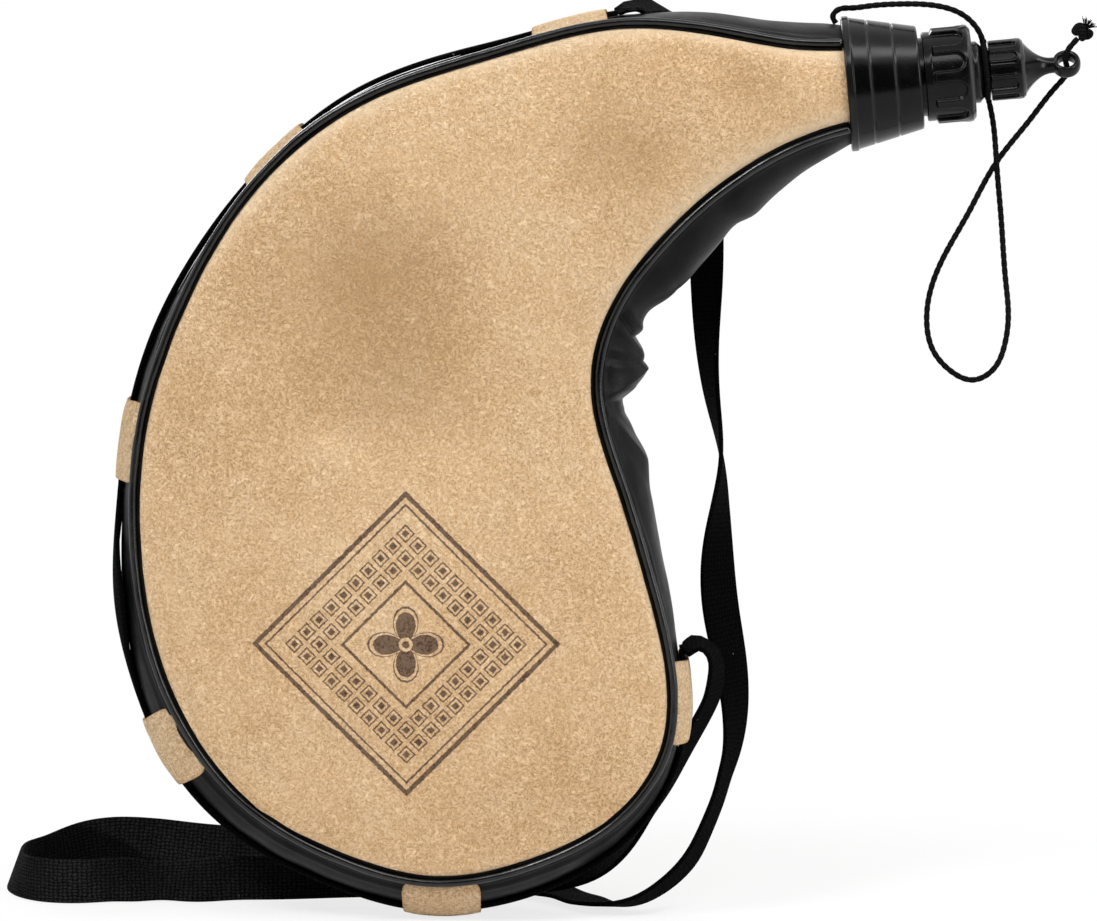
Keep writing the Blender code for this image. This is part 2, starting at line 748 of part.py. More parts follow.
def make_shoulder_strap():
    """The free webbing: a flat strip along its route, joining the two ends of the edge strap."""
    start, end = strap_ends()
    level = np.array([0.0, 1.0, 0.0])
    places = np.array([*start, *(place for place, _ in strap_route), *end])
    widths = [width for _, width in strap_route]
    widths = np.array([*([level] * len(start)), *widths, *([level] * len(end))])
    table = even_points(np.hstack([places, unit(widths)]), strap_steps)
    middle = table[:, :3]
    along = unit(np.gradient(middle, axis=0))
    widths = table[:, 3:]
    sideways = unit(widths - along * (widths * along).sum(axis=1, keepdims=True))
    sideways = sideways * strap_width / 2
    rows = np.stack([middle - sideways, middle + sideways], axis=1)
    loft("shoulder_strap", rows, webbing, strap_wall, offset=0.0)


# The hard pieces on the nozzle's axis


def make_collar():
    """The hollow cone on the neck: lip, two fine grooves and an end wall round the neck tube."""
    taper = (collar_wide_radius - collar_narrow_radius) / collar_length

    def outside(place):
        return collar_wide_radius - taper * place

    grooves = []
    for place in (collar_length * 2 / 3, collar_length / 3):
        grooves += [
            (outside(place + collar_groove_half_width), place + collar_groove_half_width),
            (outside(place) - collar_groove_depth, place),
            (outside(place - collar_groove_half_width), place - collar_groove_half_width),
        ]
    lip = outside(collar_lip_width) + collar_lip_height
    bore = neck_radius + seat_gap
    inner_end = collar_length - collar_end_wall
    corners = [
        (bore, collar_length),
        (collar_narrow_radius, collar_length, collar_wall / 2),
        *grooves,
        (outside(collar_lip_width), collar_lip_width),
        (lip, collar_lip_width - collar_lip_height),
        (lip, 0.0, collar_lip_height),
        (collar_inside(0.0), 0.0),
        (collar_inside(inner_end), inner_end),
        (bore, inner_end),
    ]
    turned("collar", corners, black_plastic)


def make_neck_tube():
    """The filling neck: barb inside the bag, flange under the collar, plain thread seat outside."""
    flange_top = collar_length - collar_end_wall - seat_gap
    flange_bottom = flange_top - neck_flange_wall
    corners = [
        (neck_bore_radius, neck_end),
        (neck_radius, neck_end, collar_wall / 3),
        (neck_radius, flange_top),
        (neck_flange_radius, flange_top),
        (neck_flange_radius, flange_bottom),
        (neck_radius, flange_bottom),
        (neck_radius, neck_barb_end),
        (neck_barb_radius, neck_barb_end),
        (neck_barb_radius, -neck_inner_length),
        (neck_bore_radius, -neck_inner_length),
    ]
    turned("neck_tube", corners, black_plastic)


def make_clamp_ring():
    """The ring that clamps the bladder's neck on the barb."""
    inner = neck_barb_radius + seat_gap + bladder_wall + seat_gap
    top = clamp_start + clamp_length
    corners = [
        (inner, top),
        (inner + clamp_wall, top),
        (inner + clamp_wall, clamp_start),
        (inner, clamp_start),
    ]
    turned("clamp_ring", corners, steel)


def make_filler_cap():
    """The fluted cap: lands, front wall, boss, cord groove, and the spigot for the stopper."""
    bore = neck_radius + thread_clearance
    spigot_bore = jet_radius + seat_gap
    corners = [
        (spigot_bore, spigot_end),
        (spigot_radius, spigot_end, collar_wall / 3),
        (spigot_radius, groove_end),
        (groove_radius, groove_end),
        (groove_radius, groove_start),
        (cap_taper_radius, groove_start),
        (cap_boss_radius, groove_start - cap_taper_length),
        (cap_boss_radius, cap_front),
        (cap_land_radius, cap_front, cap_rim_round),
        (cap_land_radius, cap_start + cap_skirt_length),
        (cap_skirt_radius, cap_start + cap_skirt_length - (cap_land_radius - cap_skirt_radius) / 2),
        (cap_skirt_radius, cap_start),
        (bore, cap_start),
        (bore, cap_inner_top),
        (spigot_bore, cap_inner_top),
    ]
    cap = turned("filler_cap", corners, black_plastic, steps=40)
    cutter = flute_cutter(
        "cap_flute_cutter",
        cap_flutes,
        cap_flute_width,
        cap_skirt_radius,
        cap_land_radius + cutter_overrun,
        cap_start + cap_skirt_length / 2,
        cap_front - cap_flute_end_gap,
    )
    boolean(cap, cutter, "DIFFERENCE")


def make_gaskets():
    """The loose washers under the cap and in the stopper."""
    for name, inner, outer, start in (
        ("cap_gasket", neck_bore_radius, neck_radius, neck_end + seat_gap),
        ("stopper_gasket", jet_radius + seat_gap, spigot_radius, spigot_end + seat_gap),
    ):
        end = start + gasket_wall
        turned(name, [(inner, end), (outer, end), (outer, start), (inner, start)], rubber, steps=28)


def make_pouring_jet():
    """The jet insert: a flange inside the cap and a fine tube through its spigot."""
    tip = spigot_end + jet_tip_length
    flange_top = cap_inner_top - seat_gap
    corners = [
        (jet_bore_radius, tip),
        (jet_radius - jet_tip_length / 2, tip),
        (jet_radius, tip - jet_tip_length / 2),
        (jet_radius, flange_top),
        (jet_flange_radius, flange_top),
        (jet_flange_radius, flange_top - gasket_wall),
        (jet_bore_radius, flange_top - gasket_wall),
    ]
    turned("pouring_jet", corners, red_plastic, steps=20)


def make_stopper():
    """The small fluted stopper: grip, concave flare, and the eye for the keeper cord."""
    bore = spigot_radius + thread_clearance
    inner_top = spigot_end + 2 * seat_gap + gasket_wall
    grip_end = stopper_start + stopper_grip_length
    flare_end = grip_end + stopper_flare_length
    flare = []
    for share in (1.0, 0.8, 0.6, 0.4, 0.2):
        radius = stopper_stem_radius + (stopper_radius * 0.84 - stopper_stem_radius) * (1 - share) ** 2
        flare.append((radius, grip_end + share * stopper_flare_length))
    eye_middle = stopper_start + eye_place_length
    jet_bore = jet_radius + thread_clearance
    corners = [
        (0.0, eye_middle - eye_radius / 2),
        (stopper_stem_radius, eye_middle - eye_radius / 2),
        (stopper_stem_radius, flare_end),
        *flare[1:],
        (stopper_radius * 0.84, grip_end + stopper_flute_depth),
        (stopper_radius, grip_end, stopper_flute_depth),
        (stopper_radius, stopper_start),
        (bore, stopper_start),
        (bore, inner_top),
        (jet_bore, inner_top),
        (jet_bore, inner_top + stopper_bore_step),
        (0.0, inner_top + stopper_bore_step),
    ]
    stopper = turned("stopper", corners, black_plastic, steps=36)
    cutter = flute_cutter(
        "stopper_flute_cutter",
        stopper_flutes,
        stopper_flute_width,
        stopper_radius - stopper_flute_depth,
        stopper_radius + cutter_overrun,
        stopper_start - cutter_overrun,
        stopper_start + stopper_flute_length,
    )
    boolean(stopper, cutter, "DIFFERENCE")
    bm = bmesh.new()
    bmesh.ops.create_uvsphere(bm, u_segments=20, v_segments=12, radius=eye_radius)
    bmesh.ops.translate(bm, verts=bm.verts, vec=(0.0, 0.0, eye_middle))
    ball = hide_cutter("eye_ball", bm, nozzle)
    boolean(stopper, ball, "UNION")
    bm = bmesh.new()
    bmesh.ops.create_cone(
        bm,
        cap_ends=True,
        segments=16,
        radius1=eye_hole_radius,
        radius2=eye_hole_radius,
        depth=2 * eye_radius + 2 * cutter_overrun,
    )
    turn = Matrix.Rotation(math.pi / 2, 4, "Y")
    lean = Matrix.Rotation(eye_hole_tilt, 4, "Z")
    place = Matrix.Translation((0.0, 0.0, eye_middle))
    bmesh.ops.transform(bm, matrix=place @ lean @ turn, verts=bm.verts)
    boolean(stopper, hide_cutter("eye_hole", bm, nozzle), "DIFFERENCE")


# The keeper cord


def nozzle_point(along, upwards, sideways=0.0):
    """A world point from its place along the nozzle's axis, above it and behind it."""
    x, z = neck_point(along, upwards)
    return (x, sideways, z)


def eye_spots():
    """The eye's middle and the direction of its hole, upwards and towards the front."""
    middle = np.array(nozzle_point(stopper_start + eye_place_length, 0.0))
    up = np.array(nozzle_point(0.0, 1.0)) - np.array(nozzle_point(0.0, 0.0))
    direction = up * math.cos(eye_hole_tilt) - np.array([0.0, math.sin(eye_hole_tilt), 0.0])
    return middle, direction


def make_keeper_cord():
    """Bridge, wrap, hanging loop through the eye, and the knot above it."""
    bridge = even_points([nozzle_point(a, r) for a, r in bridge_route_along], 22)
    tube("keeper_bridge", bridge, cord_radius, braid, resolution=2)
    middle = (groove_start + groove_end) / 2
    bm = bmesh.new()
    ring_radius = groove_radius + seat_gap + cord_radius
    profile = [
        bm.verts.new(
            (ring_radius + cord_radius * math.cos(a), 0.0, middle + cord_radius * math.sin(a))
        )
        for a in np.linspace(math.pi / 2, -3 * math.pi / 2, 8, endpoint=False)
    ]
    for i, vert in enumerate(profile):
        bm.edges.new((vert, profile[(i + 1) % len(profile)]))
    ring = mesh_object("keeper_wrap", bm, braid, nozzle, smooth=False)
    screw = ring.modifiers.new("turn", "SCREW")
    screw.axis = "Z"
    screw.steps = screw.render_steps = 28
    screw.use_merge_vertices = True
    screw.merge_threshold = 1e-6
    eye, direction = eye_spots()
    through = [eye + direction * share * eye_radius for share in (-1.9, -1.0, 0.0, 1.0)]
    knot = eye + np.array(knot_offset)
    towards = unit(knot - through[-1])
    loop_end = knot - towards * (knot_radius + seat_gap)
    route = [*hanging_route, *map(tuple, through), tuple(loop_end)]
    tube("keeper_loop", even_points(route, 66), cord_radius, braid, resolution=2)
    bm = bmesh.new()
    bmesh.ops.create_icosphere(bm, subdivisions=2, radius=knot_radius)
    bmesh.ops.translate(bm, verts=bm.verts, vec=knot)
    mesh_object("keeper_knot", bm, braid)


# Places along the nozzle's axis, from the collar's wide end
cap_start = collar_length + cap_gap
cap_front = cap_start + cap_length
cap_inner_top = cap_front - cap_front_wall
neck_end = cap_inner_top - gasket_wall - 2 * seat_gap
groove_start = cap_front + cap_boss_length + cap_taper_length
groove_end = groove_start + groove_length
spigot_end = groove_end + spigot_length
stopper_start = groove_end + seat_gap

for old in list(bpy.data.objects):
    bpy.data.objects.remove(old, do_unlink=True)
bag_collection = new_collection("bota_bag")
cutter_collection = new_collection("cutters")
cutter_collection.hide_render = True

suede = material("suede", (0.66, 0.45, 0.26), 0.95)
suede_trim = material("suede_trim", (0.66, 0.46, 0.28), 0.95)
leatherette = material("leatherette", (0.012, 0.012, 0.013), 0.5)
piping = material("piping", (0.01, 0.01, 0.011), 0.25)
webbing = material("webbing", (0.008, 0.008, 0.009), 0.9)
braid = material("braid", (0.01, 0.01, 0.011), 0.7)
black_plastic = material("black_plastic", (0.012, 0.012, 0.013), 0.35)
red_plastic = material("jet_plastic", (0.5, 0.05, 0.04), 0.4)
latex = material("bladder_latex", (0.12, 0.09, 0.07), 0.6)
rubber = material("gasket_rubber", (0.03, 0.03, 0.03), 0.8)
steel = material("clamp_steel", (0.6, 0.6, 0.6), 0.3, 1.0)

nozzle = bpy.data.objects.new("nozzle_axis", None)
bag_collection.objects.link(nozzle)
nozzle.location = nozzle_point(0.0, 0.0)
nozzle.rotation_euler = (0.0, math.pi / 2 - neck_tilt, 0.0)

make_faces()
make_gusset()
make_piping()
make_bladder()
make_edge_strap()
make_strap_loops()
make_shoulder_strap()
make_collar()
make_neck_tube()
make_clamp_ring()
make_filler_cap()
make_gaskets()
make_pouring_jet()
make_stopper()
make_keeper_cord()
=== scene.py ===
"""Looks of a curved leather bota bag: napped faces, piped seams, folded gusset, webbing and nozzle.

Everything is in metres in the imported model's frame: +Z up, +X towards the nozzle, and the camera
looks along +Y. Every surface is a function of two parameters that numpy works out on a grid.
"""

from __future__ import annotations

import itertools
import json
import logging
import math
from collections.abc import Callable, Sequence
from dataclasses import dataclass, field
from enum import Enum
from functools import partialmethod

import bmesh
import bpy
import numpy as np
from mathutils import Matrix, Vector

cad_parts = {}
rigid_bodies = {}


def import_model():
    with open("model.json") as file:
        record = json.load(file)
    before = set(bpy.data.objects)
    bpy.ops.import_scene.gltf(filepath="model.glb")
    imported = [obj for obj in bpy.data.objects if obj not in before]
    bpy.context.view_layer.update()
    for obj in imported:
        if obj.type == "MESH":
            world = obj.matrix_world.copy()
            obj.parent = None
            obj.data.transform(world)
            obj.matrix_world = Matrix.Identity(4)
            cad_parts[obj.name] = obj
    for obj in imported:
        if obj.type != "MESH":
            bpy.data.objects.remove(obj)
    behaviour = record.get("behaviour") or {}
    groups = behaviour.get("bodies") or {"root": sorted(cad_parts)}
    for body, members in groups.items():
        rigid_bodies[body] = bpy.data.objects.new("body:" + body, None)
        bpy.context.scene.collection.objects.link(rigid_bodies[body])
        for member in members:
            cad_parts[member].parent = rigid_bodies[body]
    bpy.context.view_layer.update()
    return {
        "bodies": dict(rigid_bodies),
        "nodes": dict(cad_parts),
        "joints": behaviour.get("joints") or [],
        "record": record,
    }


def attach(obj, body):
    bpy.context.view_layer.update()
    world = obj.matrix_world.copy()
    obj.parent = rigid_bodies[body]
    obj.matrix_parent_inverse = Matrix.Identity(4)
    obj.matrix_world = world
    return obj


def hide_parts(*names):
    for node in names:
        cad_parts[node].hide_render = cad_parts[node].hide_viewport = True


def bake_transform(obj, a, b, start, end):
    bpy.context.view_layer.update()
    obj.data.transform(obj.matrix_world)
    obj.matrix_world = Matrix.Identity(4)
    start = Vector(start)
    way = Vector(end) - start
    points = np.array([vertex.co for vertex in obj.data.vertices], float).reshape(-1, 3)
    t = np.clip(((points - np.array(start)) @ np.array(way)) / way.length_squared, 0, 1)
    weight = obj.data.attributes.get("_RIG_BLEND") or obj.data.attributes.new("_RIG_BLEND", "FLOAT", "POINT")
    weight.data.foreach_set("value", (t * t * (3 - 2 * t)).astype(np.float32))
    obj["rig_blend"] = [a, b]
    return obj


LOG = logging.getLogger("bota_bag")
Colour = tuple[float, float, float]
Point = tuple[float, float, float]
MM = 0.001


class Side(Enum):
    """The two faces of the bag, by the sign of their Y."""

    FRONT = -1.0
    BACK = 1.0


# Numbers and curves.


def unit(vectors: np.ndarray) -> np.ndarray:
    """Vectors divided by their lengths.

    Args:
        vectors: array whose last axis is the vector.

    Returns:
        The same array with each vector of length one.
    """
    return vectors / np.maximum(np.linalg.norm(vectors, axis=-1, keepdims=True), 1e-12)


def ease(value: np.ndarray | float) -> np.ndarray:
    """A step from 0 to 1 with level ends: three squares less two cubes of the clipped value.

    Args:
        value: where the step is read; it rises between 0 and 1.

    Returns:
        The step's height there.
    """
    share = np.clip(value, 0.0, 1.0)
    return share * share * (3.0 - 2.0 * share)


def bell(distance: np.ndarray, width: float) -> np.ndarray:
    """A Gaussian hill of height one: e to minus the squared distance over the width."""
    return np.exp(-((distance / width) ** 2))


def turns(count: int) -> np.ndarray:
    """Evenly spaced angles once round, without the last one, which would be the first again."""
    return np.linspace(0.0, 2.0 * math.pi, count, endpoint=False)


def pairs(first: np.ndarray, second: np.ndarray) -> np.ndarray:
    """Every pair of a value of the first array and one of the second, as a grid."""
    return np.stack(np.meshgrid(first, second, indexing="ij"), axis=-1)


def running_length(points: np.ndarray) -> np.ndarray:
    """Length along straight lines through the points, from the first.

    Args:
        points: rows of coordinates.

    Returns:
        One length for each row.
    """
    steps = np.linalg.norm(np.diff(points, axis=0), axis=1)
    return np.concatenate([[0.0], np.cumsum(steps)])


def natural_spline(places: Sequence[float], values: np.ndarray, wanted: np.ndarray) -> np.ndarray:
    """Cubic pieces whose second derivatives agree at the knots and vanish at both ends.

    Args:
        places: rising parameter of each knot.
        values: one row for each knot.
        wanted: parameters to read.

    Returns:
        One row of values for each wanted parameter.
    """
    at = np.asarray(places, float)
    rows = np.asarray(values, float)
    kept = rows.shape[1:]
    rows = rows.reshape(len(at), -1)
    steps = np.diff(at)
    slopes = np.diff(rows, axis=0) / steps[:, None]
    system = np.eye(len(at))
    inner = np.arange(1, len(at) - 1)
    system[inner, inner - 1] = steps[:-1]
    system[inner, inner] = 2.0 * (steps[:-1] + steps[1:])
    system[inner, inner + 1] = steps[1:]
    right = np.zeros_like(rows)
    right[1:-1] = 6.0 * np.diff(slopes, axis=0)
    bend = np.linalg.solve(system, right)
    k = np.clip(np.searchsorted(at, wanted) - 1, 0, len(at) - 2)
    t = (wanted - at[k])[:, None]
    h = steps[k][:, None]
    start = slopes[k] - h * (2.0 * bend[k] + bend[k + 1]) / 6.0
    found = rows[k] + t * (start + t * (bend[k] / 2.0 + t * (bend[k + 1] - bend[k]) / (6.0 * h)))
    return found.reshape((len(wanted), *kept))


def even_curve(points: np.ndarray, count: int) -> np.ndarray:
    """Rows spaced evenly by length on the spline through the given ones.

    Args:
        points: rows whose first three columns are places; more columns are carried along.
        count: how many rows to return.

    Returns:
        The evenly spaced rows.
    """
    rows = np.asarray(points, float)
    at = running_length(rows[:, :3])
    dense = natural_spline(at, rows, np.linspace(0.0, at[-1], 4000))
    run = running_length(dense[:, :3])
    wanted = np.linspace(0.0, run[-1], count)
    return np.stack([np.interp(wanted, run, dense[:, i]) for i in range(rows.shape[1])], axis=1)


def lattice_noise(points: np.ndarray, size: float, seed: int) -> np.ndarray:
    """Smooth noise from -1 to 1: hashed values at the corners of cubes, blended by eased steps.

    Args:
        points: places, with X, Y and Z on the last axis.
        size: edge of a cube in metres.
        seed: picks another pattern.

    Returns:
        One value for each place.
    """
    scaled = np.asarray(points, float) / size
    base = np.floor(scaled).astype(np.int64)
    blend = ease(scaled - base)
    total = np.zeros(scaled.shape[:-1])
    for corner in itertools.product((0, 1), repeat=3):
        cell = base + np.array(corner)
        key = (cell * np.array([73856093, 19349663, 83492791])).sum(axis=-1) + seed * 7919
        key = (key ^ (key >> 13)) * 1274126177 & 0xFFFFFFFF
        key = (key ^ (key >> 16)) * 668265263 & 0xFFFFFFFF
        value = ((key >> 8) & 0xFFFF) / 32767.5 - 1.0
        weight = np.where(np.array(corner) == 1, blend, 1.0 - blend).prod(axis=-1)
        total += value * weight
    return total


def distance_to_line(points: np.ndarray, start: Sequence[float], end: Sequence[float]) -> tuple[np.ndarray, np.ndarray]:
    """Distance of points in a plane from a straight stretch, and how far along it they lie.

    Args:
        points: places with two coordinates on the last axis.
        start: first end of the stretch.
        end: other end of the stretch.

    Returns:
        The distance, and the share of the stretch from 0 to 1 at its nearest point.
    """
    first = np.asarray(start, float)
    along = np.asarray(end, float) - first
    share = np.clip(((points - first) @ along) / (along @ along), 0.0, 1.0)
    near = first + share[..., None] * along
    return np.linalg.norm(points - near, axis=-1), share


# Meshes.


@dataclass
class Surface:
    """A grid of points turned into a mesh object.

    The first axis of the grid runs along the piece and the second across or round it.
    """

    name: str
    grid: np.ndarray
    loops_along: bool = False
    loops_round: bool = False
    capped: bool = False
    merge: bool = False
    uv: np.ndarray | None = None
    attributes: dict[str, np.ndarray] = field(default_factory=dict)

    def faces(self) -> tuple[np.ndarray, np.ndarray]:
        """Corner numbers of each four-sided face, and the same on the grid with its seams open.

        Returns:
            Two arrays of four columns.
        """
        m, n = self.grid.shape[:2]
        rows = np.arange(m if self.loops_along else m - 1)
        cols = np.arange(n if self.loops_round else n - 1)
        i, j = (part.ravel() for part in np.meshgrid(rows, cols, indexing="ij"))
        corners = np.stack([np.stack([i, j]), np.stack([i, j + 1]), np.stack([i + 1, j + 1]), np.stack([i + 1, j])])
        closed = (corners[:, 0] % m) * n + corners[:, 1] % n
        opened = corners[:, 0] * (n + 1) + corners[:, 1]
        return closed.T, opened.T

    def build(self) -> bpy.types.Object:
        """Makes the object. A closed surface whose volume comes out negative is turned round.

        Returns:
            The new object, linked to the scene.
        """
        m, n = self.grid.shape[:2]
        points = self.grid.reshape(-1, 3)
        quads, opened = self.faces()
        if self.volume(points, quads) < 0.0:
            quads, opened = quads[:, ::-1], opened[:, ::-1]
        faces = quads.tolist()
        if self.capped:
            ring = list(range(n))
            last = [(m - 1) * n + k for k in ring]
            caps = [ring, last]
            for cap in caps:
                faces.append(self.facing_away(points, cap))
        mesh = bpy.data.meshes.new(self.name)
        mesh.from_pydata(points.tolist(), [], faces)
        if self.uv is not None:
            layer = mesh.uv_layers.new(name="UVMap")
            flat = self.uv.reshape(-1, 2)
            values = np.zeros((len(mesh.loops), 2))
            values[: opened.size] = flat[opened.ravel()]
            layer.data.foreach_set("uv", values.ravel())
        for name, values in self.attributes.items():
            made = mesh.attributes.new(name, "FLOAT", "POINT")
            made.data.foreach_set("value", values.astype(np.float32).ravel())
        mesh.update()
        if self.merge:
            work = bmesh.new()
            work.from_mesh(mesh)
            bmesh.ops.remove_doubles(work, verts=work.verts, dist=1e-6)
            work.to_mesh(mesh)
            work.free()
        mesh.shade_smooth()
        return add_object(self.name, mesh)

    def facing_away(self, points: np.ndarray, ring: list[int]) -> list[int]:
        """Orders a cap's corners so that its face points away from the piece's nearest row.

        Args:
            points: all places.
            ring: the cap's corner numbers.

        Returns:
            The ring, turned round where needed.
        """
        m, n = self.grid.shape[:2]
        first = ring[0] == 0
        inner = self.grid[1 if first else m - 2].mean(axis=0)
        corners = points[ring]
        middle = corners.mean(axis=0)
        normal = np.cross(corners - middle, np.roll(corners, -1, axis=0) - middle).sum(axis=0)
        return ring if normal @ (middle - inner) > 0.0 else ring[::-1]

    def volume(self, points: np.ndarray, quads: np.ndarray) -> float:
        """Signed volume of a surface that closes on itself, by summed tetrahedra.

        Args:
            points: all places.
            quads: corner numbers.

        Returns:
            The volume, or 1 for an open surface, which stays as it is.
        """
        if not self.loops_round:
            return 1.0
        middle = points.mean(axis=0)
        a, b, c, d = (points[quads[:, k]] - middle for k in range(4))
        return float((np.cross(a, b) * c).sum() + (np.cross(a, c) * d).sum())


def add_object(name: str, data: bpy.types.ID) -> bpy.types.Object:
    """A new object of the scene for a mesh, a lamp or a camera."""
    made = bpy.data.objects.new(name, data)
    bpy.context.scene.collection.objects.link(made)
    return made


def add_wall(piece: bpy.types.Object, wall: float, inwards: bool = True) -> None:
    """Gives an open surface its thickness.

    Args:
        piece: the object.
        wall: thickness in metres.
        inwards: whether the wall grows against the normals.
    """
    step = piece.modifiers.new("wall", "SOLIDIFY")
    step.thickness = wall
    step.offset = -1.0 if inwards else 1.0
    step.use_even_offset = True


def add_soft_edges(piece: bpy.types.Object, width: float, segments: int = 2) -> None:
    """Rounds a piece's sharp edges.

    Args:
        piece: the object.
        width: the rounding's width in metres.
        segments: its steps.
    """
    step = piece.modifiers.new("soft_edges", "BEVEL")
    step.width = width
    step.segments = segments
    step.limit_method = "ANGLE"
    step.angle_limit = math.radians(50)


def dress(piece: bpy.types.Object, finish: bpy.types.Material, slot: str, body: str, *nodes: str) -> bpy.types.Object:
    """Gives a piece its finish, its body and the nodes that it stands for.

    Args:
        piece: the object, in place.
        finish: its material.
        slot: the record's material slot; not used.
        body: the body that it rides on, or an empty string where it blends.
        nodes: CAD nodes that it replaces.

    Returns:
        The same object.
    """
    piece.data.materials.clear()
    piece.data.materials.append(finish)
    if body:
        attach(piece, body)
    if nodes:
        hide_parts(*nodes)
    LOG.info("%s: %d points, for %s", piece.name, len(piece.data.vertices), ", ".join(nodes) or "detail")
    return piece


# Shader graphs.

Socket = bpy.types.NodeSocket
Value = bpy.types.NodeSocket | float | int | tuple


class Graph:
    """Short calls for the nodes of one material or group."""

    def __init__(self, tree: bpy.types.NodeTree) -> None:
        """Keeps the tree to build in."""
        self.tree = tree

    def put(self, socket: Socket, value: Value | None) -> None:
        """Links a socket or sets its value.

        Args:
            socket: an input.
            value: another socket, a number or a tuple; None leaves the input.
        """
        if value is None:
            return
        if isinstance(value, bpy.types.NodeSocket):
            self.tree.links.new(value, socket)
        else:
            socket.default_value = value

    def node(self, kind: str, inputs: dict[str | int, Value] | None = None, **settings: object) -> bpy.types.Node:
        """Adds a node.

        Args:
            kind: the node's type.
            inputs: values or links for its inputs.
            settings: properties to set.

        Returns:
            The node.
        """
        made = self.tree.nodes.new(kind)
        for name, value in settings.items():
            setattr(made, name, value)
        self.fill(made, inputs or {})
        return made

    def fill(self, node: bpy.types.Node, inputs: dict[str | int, Value]) -> None:
        """Links or sets several inputs of a node."""
        for name, value in inputs.items():
            self.put(node.inputs[name], value)

    def group(self, tree: bpy.types.NodeTree, inputs: dict[str | int, Value]) -> dict[str, Socket]:
        """The outputs, by name, of a shared group that is placed here with the given inputs."""
        return self.node("ShaderNodeGroup", inputs, node_tree=tree).outputs

    def place(self) -> Socket:
        """Object coordinates: metres of the model's frame."""
        return self.node("ShaderNodeTexCoord").outputs["Object"]

    def attribute(self, name: str) -> Socket:
        """A number that the piece's points carry."""
        return self.node("ShaderNodeAttribute", attribute_name=name).outputs["Fac"]

    def shaken(self, vector: Value, moved: Value, scale: float, reach: float) -> Socket:
        """Coordinates that a noise moves about.

        Args:
            vector: where the noise is read.
            moved: the coordinates to move.
            scale: the noise's waves to a metre.
            reach: twice the farthest way.

        Returns:
            The output socket.
        """
        noise = self.node("ShaderNodeTexNoise", {"Vector": vector, "Scale": scale}).outputs["Color"]
        shift = self.vector("MULTIPLY", self.vector("SUBTRACT", noise, (0.5,) * 3), (reach,) * 3)
        return self.vector("ADD", moved, shift)

    def math(self, operation: str, first: Value, second: Value | None = None, third: Value | None = None) -> Socket:
        """A Math node's result.

        Args:
            operation: the node's operation.
            first: first value.
            second: second value, where it has one.
            third: third value, where it has one.

        Returns:
            The output socket.
        """
        made = self.node("ShaderNodeMath", operation=operation)
        for socket, value in zip(made.inputs, (first, second, third)):
            self.put(socket, value)
        return made.outputs[0]

    plus, minus = partialmethod(math, "ADD"), partialmethod(math, "SUBTRACT")
    times, times_plus = partialmethod(math, "MULTIPLY"), partialmethod(math, "MULTIPLY_ADD")
    size, larger = partialmethod(math, "ABSOLUTE"), partialmethod(math, "MAXIMUM")

    def ramp(self, value: Value, low: float, high: float, start: float = 0.0, end: float = 1.0) -> Socket:
        """Maps a value between two limits to two others, with eased ends.

        Args:
            value: what is mapped.
            low: lower limit.
            high: upper limit.
            start: result at the lower limit.
            end: result at the upper limit.

        Returns:
            The output socket.
        """
        made = self.node("ShaderNodeMapRange", interpolation_type="SMOOTHSTEP")
        for name, given in zip(("Value", "From Min", "From Max", "To Min", "To Max"), (value, low, high, start, end)):
            self.put(made.inputs[name], given)
        return made.outputs["Result"]

    def noise(self, vector: Value, scale: float, detail: float = 2.0, roughness: float = 0.5) -> Socket:
        """A Noise texture's value.

        Args:
            vector: coordinates.
            scale: waves to a metre.
            detail: octaves.
            roughness: how strong the finer octaves are.

        Returns:
            The output socket.
        """
        inputs = {"Vector": vector, "Scale": scale, "Detail": detail, "Roughness": roughness}
        return self.node("ShaderNodeTexNoise", inputs).outputs["Fac"]

    def mix(self, share: Value, first: Value, second: Value) -> Socket:
        """A colour between two, by a share.

        Args:
            share: 0 for the first colour, 1 for the second.
            first: first colour.
            second: second colour.

        Returns:
            The output socket.
        """
        made = self.node("ShaderNodeMix", data_type="RGBA")
        colours = [s for s in made.inputs if s.type == "RGBA"]
        factor = next(s for s in made.inputs if s.type == "VALUE")
        self.put(factor, share)
        for socket, value in zip(colours, (first, second)):
            self.put(socket, (*value, 1.0) if isinstance(value, tuple) else value)
        return next(s for s in made.outputs if s.type == "RGBA")

    def vector(self, operation: str, first: Value, second: Value | None = None) -> Socket:
        """A Vector Math node's vector result."""
        made = self.node("ShaderNodeVectorMath", operation=operation)
        self.put(made.inputs[0], first)
        self.put(made.inputs[1], second)
        return made.outputs[0]

    def split(self, vector: Value) -> tuple[Socket, Socket, Socket]:
        """The three parts of a vector."""
        made = self.node("ShaderNodeSeparateXYZ", {"Vector": vector})
        return made.outputs[0], made.outputs[1], made.outputs[2]

    def join(self, x: Value, y: Value, z: Value) -> Socket:
        """A vector from three parts."""
        return self.node("ShaderNodeCombineXYZ", {"X": x, "Y": y, "Z": z}).outputs[0]

    def bump(self, height: Value, distance: float, strength: float = 1.0, normal: Value | None = None) -> Socket:
        """A Bump node's normal.

        Args:
            height: height from 0 to 1.
            distance: metres that a height of 1 stands for.
            strength: share of the effect.
            normal: normal to start from.

        Returns:
            The output socket.
        """
        inputs = {"Height": height, "Distance": distance, "Strength": strength, "Normal": normal}
        return self.node("ShaderNodeBump", inputs).outputs["Normal"]


